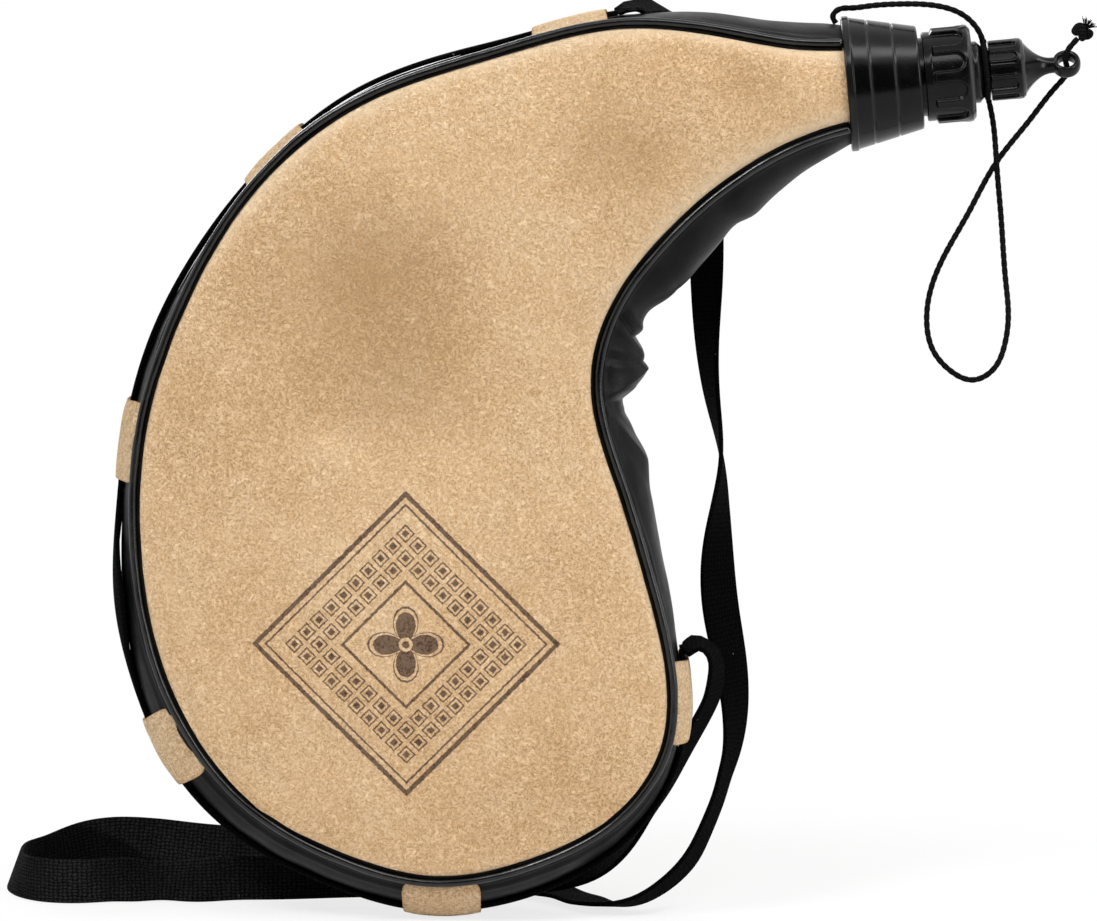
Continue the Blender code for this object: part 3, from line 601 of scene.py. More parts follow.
class Group(Graph):
    """A shader group that is built once and placed in several materials."""

    def __init__(self, name: str, *numbers: str) -> None:
        """Starts a group with a vector input, and an input for each plain number named."""
        super().__init__(bpy.data.node_groups.new(name, "ShaderNodeTree"))
        for socket, kind in (("Vector", "Vector"), *((number, "Float") for number in numbers)):
            self.tree.interface.new_socket(name=socket, in_out="INPUT", socket_type=f"NodeSocket{kind}")
        self.inputs = self.node("NodeGroupInput").outputs
        self.where = self.inputs["Vector"]

    def close(self, values: dict[str, Socket]) -> bpy.types.NodeTree:
        """Puts named values out of the group.

        Args:
            values: what each output gives.

        Returns:
            The finished group.
        """
        for name in values:
            self.tree.interface.new_socket(name=name, in_out="OUTPUT", socket_type="NodeSocketFloat")
        self.fill(self.node("NodeGroupOutput"), values)
        return self.tree


class Effects:
    """Shader groups that more than one finish uses, built once."""

    def __init__(self) -> None:
        """Builds every group."""
        self.nap = self.make_nap()
        self.grain = self.make_grain()
        self.weave = self.make_weave()
        self.handling = self.make_handling()
        self.print_mask = self.make_print()

    @staticmethod
    def make_nap() -> bpy.types.NodeTree:
        """Suede: short fibres, small clumps of pile, fine crinkles and wide blotches of brushed nap.

        Returns:
            The group, with a tone and a height from 0 to 1.
        """
        g = Group("nap")
        bent = g.shaken(g.where, g.where, 300.0, 3.0 * MM)
        pile = g.ramp(g.noise(bent, 1000.0, 3.0, 0.8), 0.36, 0.64)
        fold = g.size(g.times_plus(g.noise(bent, 520.0, 2.0, 0.6), 2.0, -1.0))
        patches = g.ramp(g.noise(g.where, 60.0), 0.4, 0.62)
        crinkle = g.times(g.ramp(fold, 0.0, 0.16, 1.0, 0.0), g.times_plus(patches, 0.7, 0.3))
        fibres = g.ramp(g.noise(g.where, 2400.0, 3.0, 0.7), 0.34, 0.66)
        blotch = g.ramp(g.noise(g.where, 24.0, 4.0, 0.6), 0.3, 0.7)
        tone = g.times_plus(crinkle, 0.22, g.times_plus(pile, 0.34, g.times(fibres, 0.2)))
        tone = g.times_plus(blotch, 0.12, g.plus(tone, 0.14))
        height = g.times_plus(crinkle, 0.35, g.times_plus(pile, 0.5, g.times(fibres, 0.15)))
        return g.close({"Tone": tone, "Height": height})

    @staticmethod
    def make_grain() -> bpy.types.NodeTree:
        """Embossed leatherette: rounded pebbles parted by fine valleys, and soft unevenness.

        Returns:
            The group, with a height and a tone.
        """
        g = Group("grain", "Scale")
        pebbles = {"Vector": g.where, "Scale": g.inputs["Scale"], "Smoothness": 0.4}
        net = g.node("ShaderNodeTexVoronoi", pebbles, feature="SMOOTH_F1").outputs["Distance"]
        coarse = g.noise(g.where, 90.0, 3.0)
        height = g.times_plus(g.ramp(net, 0.1, 0.75, 1.0, 0.0), 0.6, g.times(coarse, 0.4))
        return g.close({"Height": height, "Tone": g.ramp(coarse, 0.3, 0.7)})

    @staticmethod
    def make_weave() -> bpy.types.NodeTree:
        """A weave on UV in metres: threads pass over and under each other like a chequer board.

        Returns:
            The group, with a height and a mask of the gaps between the threads.
        """
        g = Group("weave", "Along", "Across")
        u, v, _ = g.split(g.where)
        a, b = g.math("DIVIDE", u, g.inputs["Along"]), g.math("DIVIDE", v, g.inputs["Across"])
        over = g.size(g.math("MODULO", g.plus(g.math("FLOOR", a), g.math("FLOOR", b)), 2.0))
        hill_a, hill_b = (g.size(g.math("SINE", g.times(count, math.pi))) for count in (a, b))
        warp = g.times(hill_a, g.math("POWER", hill_b, 0.4))
        weft = g.times(hill_b, g.math("POWER", hill_a, 0.4))
        height = g.times_plus(weft, g.minus(1.0, over), g.times(warp, over))
        return g.close({"Height": height, "Gap": g.ramp(height, 0.0, 0.45, 1.0, 0.0)})

    @staticmethod
    def make_handling() -> bpy.types.NodeTree:
        """Traces of use: wide smears, fine scratches and a few specks of lint.

        Returns:
            The group, with a mask for each.
        """
        g = Group("handling")
        smear = g.ramp(g.noise(g.where, 60.0, 4.0, 0.6), 0.35, 0.72)
        scratch = g.ramp(g.noise(g.vector("MULTIPLY", g.where, (1.0, 9.0, 2.2)), 520.0), 0.66, 0.74)
        specks = g.node("ShaderNodeTexVoronoi", {"Vector": g.where, "Scale": 95.0}, feature="F1").outputs["Distance"]
        return g.close({"Smear": smear, "Scratch": scratch, "Lint": g.ramp(specks, 0.02, 0.035, 1.0, 0.0)})

    @staticmethod
    def make_print() -> bpy.types.NodeTree:
        """A plain lozenge ornament in the XZ plane, in millimetres from its own middle.

        The distance |x| + |z| gives nested lozenge frames, a grid turned by half a right angle
        gives small lozenges inside, and the cosine of twice the angle gives petals.

        Returns:
            The group, with the printed mask.
        """
        g = Group("lozenge_print")
        x, _, z = g.split(g.where)
        far = g.plus(g.size(x), g.size(z))
        soft, tile = 0.22, 10.0

        def band(value: Socket, middle: float, half: float) -> Socket:
            """A stripe of the value round a middle, with soft sides."""
            return g.ramp(g.size(g.minus(value, middle)), half - soft, half + soft, 1.0, 0.0)

        def below(value: Socket, limit: float) -> Socket:
            """One where the value is under the limit."""
            return g.ramp(value, limit - soft, limit + soft, 1.0, 0.0)

        frames = g.larger(g.larger(band(far, 61.0, 1.3), band(far, 56.6, 0.55)), band(far, 25.5, 0.8))
        turned = (g.math("DIVIDE", g.plus(x, z), tile), g.math("DIVIDE", g.minus(x, z), tile))
        p, q = (g.size(g.minus(g.math("FRACT", g.plus(side, 20.0)), 0.5)) for side in turned)
        cell = g.times(g.larger(p, q), tile)
        ring = g.times(below(far, 50.5), g.ramp(far, 29.3, 29.7))
        tiles = g.times(g.larger(below(cell, 1.7), band(cell, 3.4, 0.42)), ring)
        radius = g.math("SQRT", g.times_plus(x, x, g.times(z, z)))
        wave = g.size(g.math("COSINE", g.times(g.math("ARCTAN2", z, x), 2.0)))
        edge = g.minus(radius, g.times_plus(wave, 10.5, 4.6))
        flower = g.times(g.larger(below(edge, -1.9), band(edge, 0.0, 0.42)), g.ramp(radius, 2.6, 3.0))
        inner = g.times(g.larger(flower, below(radius, 1.5)), below(far, 22.5))
        return g.close({"Mask": g.larger(g.larger(frames, inner), tiles)})


def start_material(name: str) -> tuple[bpy.types.Material, Graph, bpy.types.Node]:
    """A material with its Principled shader.

    Args:
        name: the material's name.

    Returns:
        The material, its graph and the shader.
    """
    made = bpy.data.materials.new(name)
    made.use_nodes = True
    return made, Graph(made.node_tree), made.node_tree.nodes["Principled BSDF"]


@dataclass(frozen=True)
class Suede:
    """Napped leather, with or without the printed ornament."""

    name: str
    light: Colour = (0.95, 0.715, 0.46)
    middle: Colour = (0.765, 0.492, 0.256)
    dark: Colour = (0.46, 0.268, 0.118)
    print_at: Point | None = None
    print_colour: Colour = (0.07, 0.036, 0.023)
    print_scale: float = 1220.0
    print_blur: float = 0.9

    def build(self, effects: Effects) -> bpy.types.Material:
        """Makes the material.

        Args:
            effects: the shared groups.

        Returns:
            The material.
        """
        made, g, shader = start_material(self.name)
        where = g.place()
        nap = g.group(effects.nap, {"Vector": where})
        shaded = g.attribute("painted_shading_and_dark_edges")
        # The lighter-edge mask raises the tone: a painted highlight on the faces' upper edge, a lighter rim, and
        # lighter loop middles.
        tone = g.plus(nap["Tone"], g.times(g.attribute("wear_and_painted_light"), 0.45))
        tone = g.minus(tone, g.times(shaded, 0.1))
        low = g.mix(g.ramp(tone, 0.18, 0.52), self.dark, self.middle)
        colour = g.mix(g.ramp(tone, 0.43, 0.86), low, self.light)
        # Painted shading: the colour drawn to the dark tone by the dents' painted shade, and along the loops' darker
        # edges.
        colour = g.mix(g.times(shaded, 0.62), colour, self.dark)
        if self.print_at is not None:
            scaled = g.vector("MULTIPLY", g.vector("SUBTRACT", where, self.print_at), (self.print_scale,) * 3)
            moved = g.shaken(where, scaled, 900.0, self.print_blur)
            mask = g.group(effects.print_mask, {"Vector": moved})["Mask"]
            patchy = g.ramp(g.plus(nap["Height"], g.noise(where, 240.0, 3.0)), 0.62, 0.86, 1.0, 0.88)
            faded = tuple(1.8 * part for part in self.print_colour)
            ink = g.mix(g.ramp(nap["Tone"], 0.2, 0.9), self.print_colour, faded)
            colour = g.mix(g.times(mask, patchy), colour, ink)
        g.fill(shader, {
            "Base Color": colour, "Roughness": g.times_plus(nap["Height"], 0.1, 0.86),
            "Specular IOR Level": 0.18, "Sheen Weight": 0.22, "Sheen Roughness": 0.55,
            "Sheen Tint": (1.0, 0.86, 0.68, 1.0), "Normal": g.bump(nap["Height"], 0.75 * MM, 0.9),
        })
        return made


@dataclass(frozen=True)
class Leatherette:
    """Black coated cloth with a fine embossed grain and slight wear."""

    name: str
    colour: Colour = (0.0036, 0.0036, 0.004)
    wear_and_painted_light: Colour = (0.02, 0.02, 0.021)
    lint: Colour = (0.22, 0.22, 0.21)
    roughness: float = 0.38
    specular: float = 0.12
    grain_scale: float = 1500.0
    grain_depth: float = 0.00009

    def build(self, effects: Effects) -> bpy.types.Material:
        """Makes the material.

        Args:
            effects: the shared groups.

        Returns:
            The material.
        """
        made, g, shader = start_material(self.name)
        where = g.place()
        grain = g.group(effects.grain, {"Vector": where, "Scale": self.grain_scale})
        use = g.group(effects.handling, {"Vector": where})
        share = g.plus(g.times(grain["Tone"], 0.35), g.times(g.attribute("wear_and_painted_light"), 0.6))
        colour = g.mix(share, self.colour, self.wear_and_painted_light)
        g.fill(shader, {
            "Base Color": g.mix(g.times(use["Lint"], 0.35), colour, self.lint),
            "Roughness": g.times_plus(use["Smear"], 0.14, self.roughness),
            "Specular IOR Level": self.specular, "Normal": g.bump(grain["Height"], self.grain_depth, 0.7),
        })
        return made


@dataclass(frozen=True)
class Webbing:
    """Black woven cotton on a UV map in metres, lighter on its raised threads: a little dust everywhere, and painted
    light where the strap faces the light.
    """

    name: str
    colour: Colour = (0.001, 0.001, 0.0012)
    raised: Colour = (0.036, 0.036, 0.037)
    lint: Colour = (0.25, 0.25, 0.24)
    dust: float = 0.1
    along: float = 0.0016
    across: float = 0.00115
    depth: float = 0.0005
    jitter: float = 0.0017
    jitter_scale: float = 480.0
    roughness: float = 0.9

    def build(self, effects: Effects) -> bpy.types.Material:
        """Makes the material.

        Args:
            effects: the shared groups.

        Returns:
            The material.
        """
        made, g, shader = start_material(self.name)
        where = g.node("ShaderNodeUVMap", uv_map="UVMap").outputs["UV"]
        space = g.place()
        moved = g.shaken(where, where, self.jitter_scale, self.jitter)
        weave = g.group(effects.weave, {"Vector": moved, "Along": self.along, "Across": self.across})
        use = g.group(effects.handling, {"Vector": space})
        fuzz = g.noise(space, 3000.0, 2.0, 0.6)
        share = g.times(weave["Height"], g.ramp(fuzz, 0.3, 0.8, 0.4, 1.0))
        share = g.times(share, g.times_plus(use["Smear"], 0.5, 0.6))
        # Painted light: the raised threads lighten where the strap is lit, on top of the even dust.
        share = g.times(share, g.plus(g.attribute("painted_light"), self.dust))
        colour = g.mix(share, self.colour, self.raised)
        height = g.times_plus(fuzz, 0.25, weave["Height"])
        g.fill(shader, {
            "Base Color": g.mix(g.times(use["Lint"], 0.4), colour, self.lint),
            "Roughness": g.times_plus(weave["Gap"], 0.08, self.roughness),
            "Specular IOR Level": 0.01, "Sheen Weight": 0.006, "Sheen Roughness": 0.5,
            "Normal": g.bump(height, self.depth, 0.8),
        })
        return made


@dataclass(frozen=True)
class Moulded:
    """A moulded or rolled hard finish: plastic, rubber, latex or metal, with traces of use."""

    name: str
    colour: Colour
    wear_and_painted_light: Colour
    roughness: float = 0.3
    specular: float = 0.4
    metallic: float = 0.0
    grain_depth: float = 0.00002
    grain_scale: float = 2200.0

    def build(self, effects: Effects) -> bpy.types.Material:
        """Makes the material.

        Args:
            effects: the shared groups.

        Returns:
            The material.
        """
        made, g, shader = start_material(self.name)
        where = g.place()
        use = g.group(effects.handling, {"Vector": where})
        grain = g.group(effects.grain, {"Vector": where, "Scale": self.grain_scale})
        share = g.plus(g.times(g.attribute("wear_and_painted_light"), 0.8), g.times(use["Scratch"], 0.08))
        share = g.plus(share, g.times(use["Smear"], 0.06))
        rough = g.times_plus(use["Smear"], 0.1, self.roughness)
        g.fill(shader, {
            "Base Color": g.mix(share, self.colour, self.wear_and_painted_light),
            "Roughness": g.times_plus(use["Scratch"], 0.12, rough), "Metallic": self.metallic,
            "Specular IOR Level": self.specular, "Normal": g.bump(grain["Height"], self.grain_depth, 0.6),
        })
        return made


class Finishes:
    """Every material of the bag, built once."""

    def __init__(self, effects: Effects) -> None:
        """Builds the materials.

        Args:
            effects: the shared groups.
        """
        black, grey, warm = (0.0014, 0.0014, 0.0016), (0.1, 0.1, 0.1), (0.2, 0.15, 0.1)
        made = (
            Suede("suede_front", print_at=(-0.0614, 0.0, 0.0947)),
            Suede("suede_back"),
            Suede("suede_loops", light=(0.93, 0.72, 0.48), middle=(0.8, 0.55, 0.31)),
            Leatherette("leatherette"),
            Leatherette("welt", (0.003, 0.003, 0.003), (0.012, 0.011, 0.01), roughness=0.6, specular=0.03),
            Leatherette("piping", black, roughness=0.18, specular=0.42, grain_depth=0.03 * MM),
            Webbing("webbing"),
            Webbing("braid", along=0.85 * MM, across=0.8 * MM, depth=0.2 * MM, dust=0.7, jitter=0.0),
            Moulded("collar_plastic", black, (0.035, 0.035, 0.035), roughness=0.17, specular=0.2),
            Moulded("cap_plastic", black, grey, roughness=0.17, specular=0.17),
            Moulded("jet_plastic", (0.45, 0.03, 0.025), (0.6, 0.12, 0.1), roughness=0.35),
            Moulded("bladder_latex", (0.1, 0.07, 0.05), warm, roughness=0.6, grain_depth=0.1 * MM),
            Moulded("gasket_rubber", (0.02, 0.02, 0.02), grey, roughness=0.7),
            Moulded("clamp_steel", (0.55, 0.55, 0.55), (0.35, 0.33, 0.3), metallic=1.0),
        )
        self.by_name = {finish.name: finish.build(effects) for finish in made}

    def __getitem__(self, name: str) -> bpy.types.Material:
        """The material of a finish, by its name."""
        return self.by_name[name]


# The bag's shape, with the same sizes as its solids.


@dataclass
class Neck:
    """The nozzle's axis, which rises a few degrees from the middle of the collar's wide end."""

    tilt: float = math.radians(5.3)
    x: float = 0.083432
    z: float = 0.27886

    def __post_init__(self) -> None:
        """Works out the directions."""
        self.origin = np.array([self.x, 0.0, self.z])
        self.axis = np.array([math.cos(self.tilt), 0.0, math.sin(self.tilt)])
        self.up = np.array([-math.sin(self.tilt), 0.0, math.cos(self.tilt)])
        self.back = np.array([0.0, 1.0, 0.0])

    def point(self, along: float, upwards: float, sideways: float = 0.0) -> np.ndarray:
        """A place given along the axis, above it and behind it."""
        return self.origin + along * self.axis + upwards * self.up + sideways * self.back

    def turned(self, along: np.ndarray, radius: np.ndarray, angle: np.ndarray) -> np.ndarray:
        """Points round the axis; angle 0 is straight below it and a quarter turn is behind it.

        Args:
            along: distance along the axis.
            radius: distance from it.
            angle: turn round it.

        Returns:
            One point for each.
        """
        spoke = -np.cos(angle)[..., None] * self.up + np.sin(angle)[..., None] * self.back
        return self.origin + along[..., None] * self.axis + radius[..., None] * spoke

    def run_of(self, points: np.ndarray) -> np.ndarray:
        """How far points of the XZ plane lie along the axis."""
        return (points - self.origin[[0, 2]]) @ self.axis[[0, 2]]


# Knots of the seam as shares of the face's width and height, anticlockwise from the neck's upper side.
OUTLINE = (
    (0.936, 0.976), (0.836, 0.989), (0.68, 1.0), (0.509, 0.967), (0.324, 0.914), (0.171, 0.815),
    (0.07, 0.681), (0.01, 0.534), (0.001, 0.375), (0.043, 0.221), (0.169, 0.08), (0.282, 0.029),
    (0.41, 0.001), (0.552, 0.022), (0.677, 0.08), (0.735, 0.151), (0.745, 0.221), (0.721, 0.327),
    (0.669, 0.469), (0.636, 0.581), (0.659, 0.669), (0.737, 0.761), (0.865, 0.849),
)
# The gusset's reach past the seam in millimetres, at shares of the seam's length. The slack side,
# from 0.79 on, bulges and draws in where it folds.
REACH = (
    (0.0, 7.34), (0.0093, 8.5), (0.02, 9.2), (0.04, 8.5), (0.06, 7.5), (0.08, 6.0), (0.1, 4.2),
    (0.12, 3.5), (0.14, 3.7), (0.16, 4.3), (0.18, 4.5), (0.2, 4.4), (0.22, 3.9), (0.24, 3.5),
    (0.26, 3.9), (0.28, 5.0), (0.3, 6.3), (0.32, 7.1), (0.34, 7.2), (0.36, 7.2), (0.38, 7.6),
    (0.4, 8.8), (0.42, 10.3), (0.44, 11.6), (0.46, 12.9), (0.48, 14.0), (0.5, 14.3), (0.52, 13.9),
    (0.54, 13.5), (0.57, 13.4), (0.6, 13.3), (0.62, 13.2), (0.64, 12.2), (0.66, 10.4), (0.68, 8.2),
    (0.7, 6.2), (0.72, 5.4), (0.74, 6.0), (0.76, 7.6), (0.78, 9.4), (0.79, 10.7), (0.8, 12.1),
    (0.806, 12.6), (0.812, 12.1), (0.82, 11.0), (0.826, 10.3), (0.83, 12.0), (0.834, 15.0),
    (0.84, 17.8), (0.846, 18.6), (0.852, 17.7), (0.858, 15.3), (0.864, 14.0), (0.874, 13.2),
    (0.88, 14.9), (0.888, 17.2), (0.896, 17.9), (0.906, 17.5), (0.918, 16.4), (0.927, 15.5),
    (0.937, 16.5), (0.946, 15.5), (0.956, 14.1), (0.966, 12.7), (0.976, 11.3), (0.985, 9.7),
    (0.9907, 8.5), (1.0, 7.34),
)
LOOP_PLACES = (0.1146, 0.238, 0.36, 0.4758, 0.5896, 0.7106)


@dataclass
class Seam:
    """The line where face and gusset meet: a natural spline through knots of the XZ plane."""

    neck: Neck
    width: float = 0.232
    height: float = 0.28
    left: float = -0.1488
    bottom: float = 0.01678
    band: float = 0.036
    band_start: float = 0.0024
    piping_radius: float = 0.0013
    gap: float = 0.0003
    margin: float = 0.0015
    grip: float = 0.008
    samples: int = 2400
    outer_corner: int = 12
    inner_corner: int = 16

    def __post_init__(self) -> None:
        """Samples the spline with its normals and its running length."""
        neck = self.neck
        top = [neck.point(self.grip, 0.0104)[[0, 2]], neck.point(0.0, 0.011)[[0, 2]]]
        low = [neck.point(0.0, -0.011)[[0, 2]], neck.point(self.grip, -0.0104)[[0, 2]]]
        rows = np.array(OUTLINE) * (self.width, self.height) + (self.left, self.bottom)
        knots = np.vstack([top, rows, low])
        places = running_length(knots)
        steps = np.linspace(0.0, places[-1], self.samples)
        self.table = natural_spline(places, knots, steps)
        along = unit(np.gradient(self.table, axis=0))
        self.normals = np.stack([along[:, 1], -along[:, 0]], axis=1)
        self.run = running_length(self.table)
        self.length = float(self.run[-1])
        corners = [self.run[np.searchsorted(steps, places[i])] for i in (self.outer_corner, self.inner_corner)]
        self.outer_end, self.inner_end = corners
        self.sleeve = self.grip / self.length + 2 * self.gap / self.length

    def read(self, shares: np.ndarray, table: np.ndarray) -> np.ndarray:
        """Rows of a table that runs with the seam, at shares of its length."""
        wanted = np.asarray(shares, float) * self.length
        return np.stack([np.interp(wanted, self.run, table[:, i]) for i in range(table.shape[1])], axis=-1)

    def middle(self, shares: np.ndarray) -> np.ndarray:
        """Places of the seam in the XZ plane."""
        return self.read(shares, self.table)

    def normal(self, shares: np.ndarray) -> np.ndarray:
        """Outward directions of the seam in the XZ plane."""
        return unit(self.read(shares, self.normals))

    def share_near(self, x: float, z: float) -> float:
        """The share of the seam nearest to a place of the XZ plane."""
        return float(self.run[np.argmin(np.hypot(self.table[:, 0] - x, self.table[:, 1] - z))] / self.length)

    def half_depth(self, points: np.ndarray) -> np.ndarray:
        """Half the gusset's width at the seam: full in the bag and drawn in to the collar's bore.

        Args:
            points: places in the XZ plane.

        Returns:
            The depth of each.
        """
        into = self.neck.run_of(points)
        inner = 0.0224 - 0.0015 - (0.0224 - 0.017) / 0.0246 * np.clip(into, 0.0, self.grip) - 0.0005
        half_face = np.interp(into, [0.0, self.grip], [0.011, 0.0104])
        drawn = np.sqrt(inner**2 - (half_face + self.margin) ** 2)
        blend = ease(1.0 + into / (self.band / 2.0))
        return self.band / 2.0 * (1.0 - blend) + drawn * blend

    def reach(self, shares: np.ndarray) -> np.ndarray:
        """The gusset's reach past the seam: a spline through the table of reaches."""
        shares = np.asarray(shares, float)
        places, reaches = np.array(REACH).T
        return natural_spline(places, reaches[:, None] * MM, np.clip(shares, 0.0, 1.0).ravel()).reshape(shares.shape)

    def beside(self, shares: np.ndarray, outwards: np.ndarray, y: np.ndarray) -> np.ndarray:
        """Points at a distance outwards from the seam in its plane, at a given Y.

        Args:
            shares: shares of the seam.
            outwards: distance from it.
            y: their Y.

        Returns:
            One point for each.
        """
        spot = self.middle(shares) + self.normal(shares) * np.asarray(outwards)[..., None]
        return np.stack([spot[..., 0], y, spot[..., 1]], axis=-1)

    def turn_at(self, y: np.ndarray) -> np.ndarray:
        """The turn over the gusset's section that reaches a given Y."""
        return np.arccos(np.clip(-y / (self.band / 2.0 - self.piping_radius - self.gap), -1.0, 1.0))

    def over_gusset(self, shares: np.ndarray, turn: np.ndarray, lift: np.ndarray | float) -> np.ndarray:
        """Points over the gusset, whose section is half an ellipse between the two seams.

        Args:
            shares: shares of the seam.
            turn: from 0 at the front seam to pi at the rear one.
            lift: height over the gusset's outer face, along the ellipse's normal.

        Returns:
            One point for each.
        """
        shares, turn, lift = np.broadcast_arrays(np.asarray(shares, float), turn, lift)
        depth = self.half_depth(self.middle(shares)) - self.piping_radius - self.gap
        swell = self.reach(shares) - self.band_start
        lean = unit(np.stack([depth * np.sin(turn), -swell * np.cos(turn)], axis=-1)) * lift[..., None]
        outwards = self.band_start + swell * np.sin(turn) + lean[..., 0]
        return self.beside(shares, outwards, -depth * np.cos(turn) + lean[..., 1])


CROWN_PLACES = (0.0, 0.12, 0.35, 0.52, 0.75, 1.0)
CROWN_HEIGHTS = (0.47, 0.55, 0.9, 0.82, 1.0, 0.95)


@dataclass
class Dent:
    """A shallow valley or ridge of a face along a straight line of the XZ plane, with painted shade along it."""

    start: tuple[float, float]
    end: tuple[float, float]
    depth: float
    width: float
    # Painted shade along the dent; a negative value paints light.
    dark: float = 0.0
    fade: float = 0.25

    def hill(self, points: np.ndarray) -> np.ndarray:
        """Its shape from 0 to 1: a bell across the line that fades at both ends.

        Args:
            points: places in the XZ plane.

        Returns:
            One value for each.
        """
        distance, share = distance_to_line(points, self.start, self.end)
        ends = ease((share + 0.02) / self.fade) * ease((1.02 - share) / self.fade)
        return bell(distance, self.width) * ends


@dataclass
class SuedeFaces:
    """The two domed faces and the narrow dark welt that covers their edges."""

    seam: Seam
    crown: float = 0.009
    wall: float = 0.0015
    rows: int = 270
    columns: int = 132
    # Each dent paints shade into the nap along its line; a negative dark value paints light.
    front_dents: tuple[Dent, ...] = (
        Dent((-0.104, 0.17), (-0.02, 0.161), 0.0022, 0.015, dark=0.05, fade=0.4),
        Dent((-0.108, 0.24), (-0.04, 0.158), 0.0004, 0.024, dark=0.62, fade=0.35),
        Dent((-0.096, 0.228), (-0.03, 0.216), 0.0003, 0.019, dark=0.5, fade=0.45),
        Dent((-0.016, 0.268), (0.034, 0.248), 0.001, 0.015, dark=0.6, fade=0.4),
        Dent((-0.1, 0.164), (-0.07, 0.15), -0.0007, 0.005, dark=-0.35, fade=0.4),
        Dent((-0.1, 0.26), (0.01, 0.289), -0.0003, 0.008, dark=-0.2, fade=0.4),
        Dent((0.036, 0.282), (0.066, 0.275), 0.0014, 0.008, dark=0.4, fade=0.5),
        Dent((-0.125, 0.1), (-0.11, 0.06), -0.0003, 0.012, dark=-0.15, fade=0.5),
    )
    back_dents: tuple[Dent, ...] = (
        Dent((-0.01, 0.206), (-0.08, 0.17), 0.0012, 0.014, dark=0.35),
        Dent((0.03, 0.283), (0.062, 0.274), 0.0012, 0.008, dark=0.3, fade=0.5),
        Dent((-0.11, 0.1), (-0.06, 0.06), 0.0009, 0.015, dark=0.2, fade=0.5),
    )

    def margins(self, v: np.ndarray, u: np.ndarray) -> tuple[np.ndarray, np.ndarray, np.ndarray]:
        """The patch's outer, inner and bottom borders, just outside the seam.

        Args:
            v: shares from the neck to the bottom.
            u: shares from the outer to the inner border.

        Returns:
            Rows of X and Z for each border.
        """
        seam = self.seam
        line = seam.table + seam.normals * seam.margin

        def at(run: np.ndarray) -> np.ndarray:
            """The border at a running length."""
            return np.stack([np.interp(run, seam.run, line[:, i]) for i in range(2)], axis=1)

        outer = at(v * seam.outer_end)
        inner = at(seam.length + (seam.inner_end - seam.length) * v)
        return outer, inner, at(seam.outer_end + (seam.inner_end - seam.outer_end) * u)

    def dome(self, u: np.ndarray, v: np.ndarray) -> np.ndarray:
        """Height over the seam's plane: a crown along the bag, rounded across and at the bottom."""
        crown = natural_spline(CROWN_PLACES, np.array(CROWN_HEIGHTS), v.ravel()).reshape(v.shape)
        return self.crown * crown * (1.0 - np.abs(2.0 * u - 1.0) ** 2.3) * (1.0 - v**7)

    def grid(self, side: Side) -> tuple[np.ndarray, np.ndarray, np.ndarray]:
        """The face's points: a Coons patch on its borders, domed, dented and turned down at the edge.

        Args:
            side: front or back.

        Returns:
            The points, the mask of lighter edges with a painted highlight on the upper edge, and the mask of painted
            shading with random mottle.
        """
        t = np.linspace(0.0, 1.0, self.rows)
        v = 0.72 * t + 0.28 * (1.0 - (1.0 - t) ** 2)
        t = np.linspace(0.0, 1.0, self.columns)
        u = 0.62 * t + 0.38 * (0.5 - 0.5 * np.cos(math.pi * t))
        outer, inner, bottom = self.margins(v, u)
        vv, uu = v[:, None, None], u[None, :, None]
        top = outer[0] + (inner[0] - outer[0]) * uu[0]
        corners = (1 - vv) * ((1 - uu) * outer[0] + uu * inner[0]) + vv * ((1 - uu) * outer[-1] + uu * inner[-1])
        flat = (1 - uu) * outer[:, None] + uu * inner[:, None] + (1 - vv) * top[None] + vv * bottom[None] - corners
        uu, vv = np.broadcast_arrays(uu[..., 0], vv[..., 0])
        away = [np.linalg.norm(flat - border, axis=-1) for border in (outer[:, None], inner[:, None], bottom[None])]
        edge = np.minimum.reduce(away)
        lift = self.dome(uu, vv) - 0.0006 * bell(edge, 0.0012)
        dark = np.zeros(edge.shape)
        inside = ease(edge / 0.012) * ease(-self.seam.neck.run_of(flat) / 0.01)
        for dent in self.front_dents if side is Side.FRONT else self.back_dents:
            hill = dent.hill(flat) * inside
            lift = lift - dent.depth * hill
            # Painted shade along the dent; a negative dark value paints light.
            dark = dark + dent.dark * hill
        seed = 3 if side is Side.FRONT else 11
        spot = np.stack([flat[..., 0], np.zeros(edge.shape), flat[..., 1]], axis=-1)
        broad = lattice_noise(spot, 0.046, seed) * 0.0005 + lattice_noise(spot, 0.019, seed + 1) * 0.00016
        fine = lattice_noise(spot, 0.0065, seed + 2) * 0.00006
        lift = lift + (broad + fine) * inside
        puckers = lattice_noise(spot, 0.0075, seed + 5) * 0.00014 * bell(edge - 0.004, 0.004)
        lift = lift + puckers
        # Painted highlight on the upper edge near the seam, where light falls from above, and a lighter band all round
        # the rim.
        wear_and_painted_light = 0.75 * bell(edge, 0.0042) * ease((flat[..., 1] - 0.19) / 0.06) * ease((vv * -1.0 + 0.62) / 0.1)
        wear_and_painted_light = wear_and_painted_light + 0.35 * bell(edge, 0.0035)
        depth = side.value * (self.seam.half_depth(flat) + lift)
        # The last mask is the dents' painted shading plus random mottle.
        return np.stack([flat[..., 0], depth, flat[..., 1]], axis=-1), wear_and_painted_light, dark + 0.08 * lattice_noise(spot, 0.034, seed + 7)

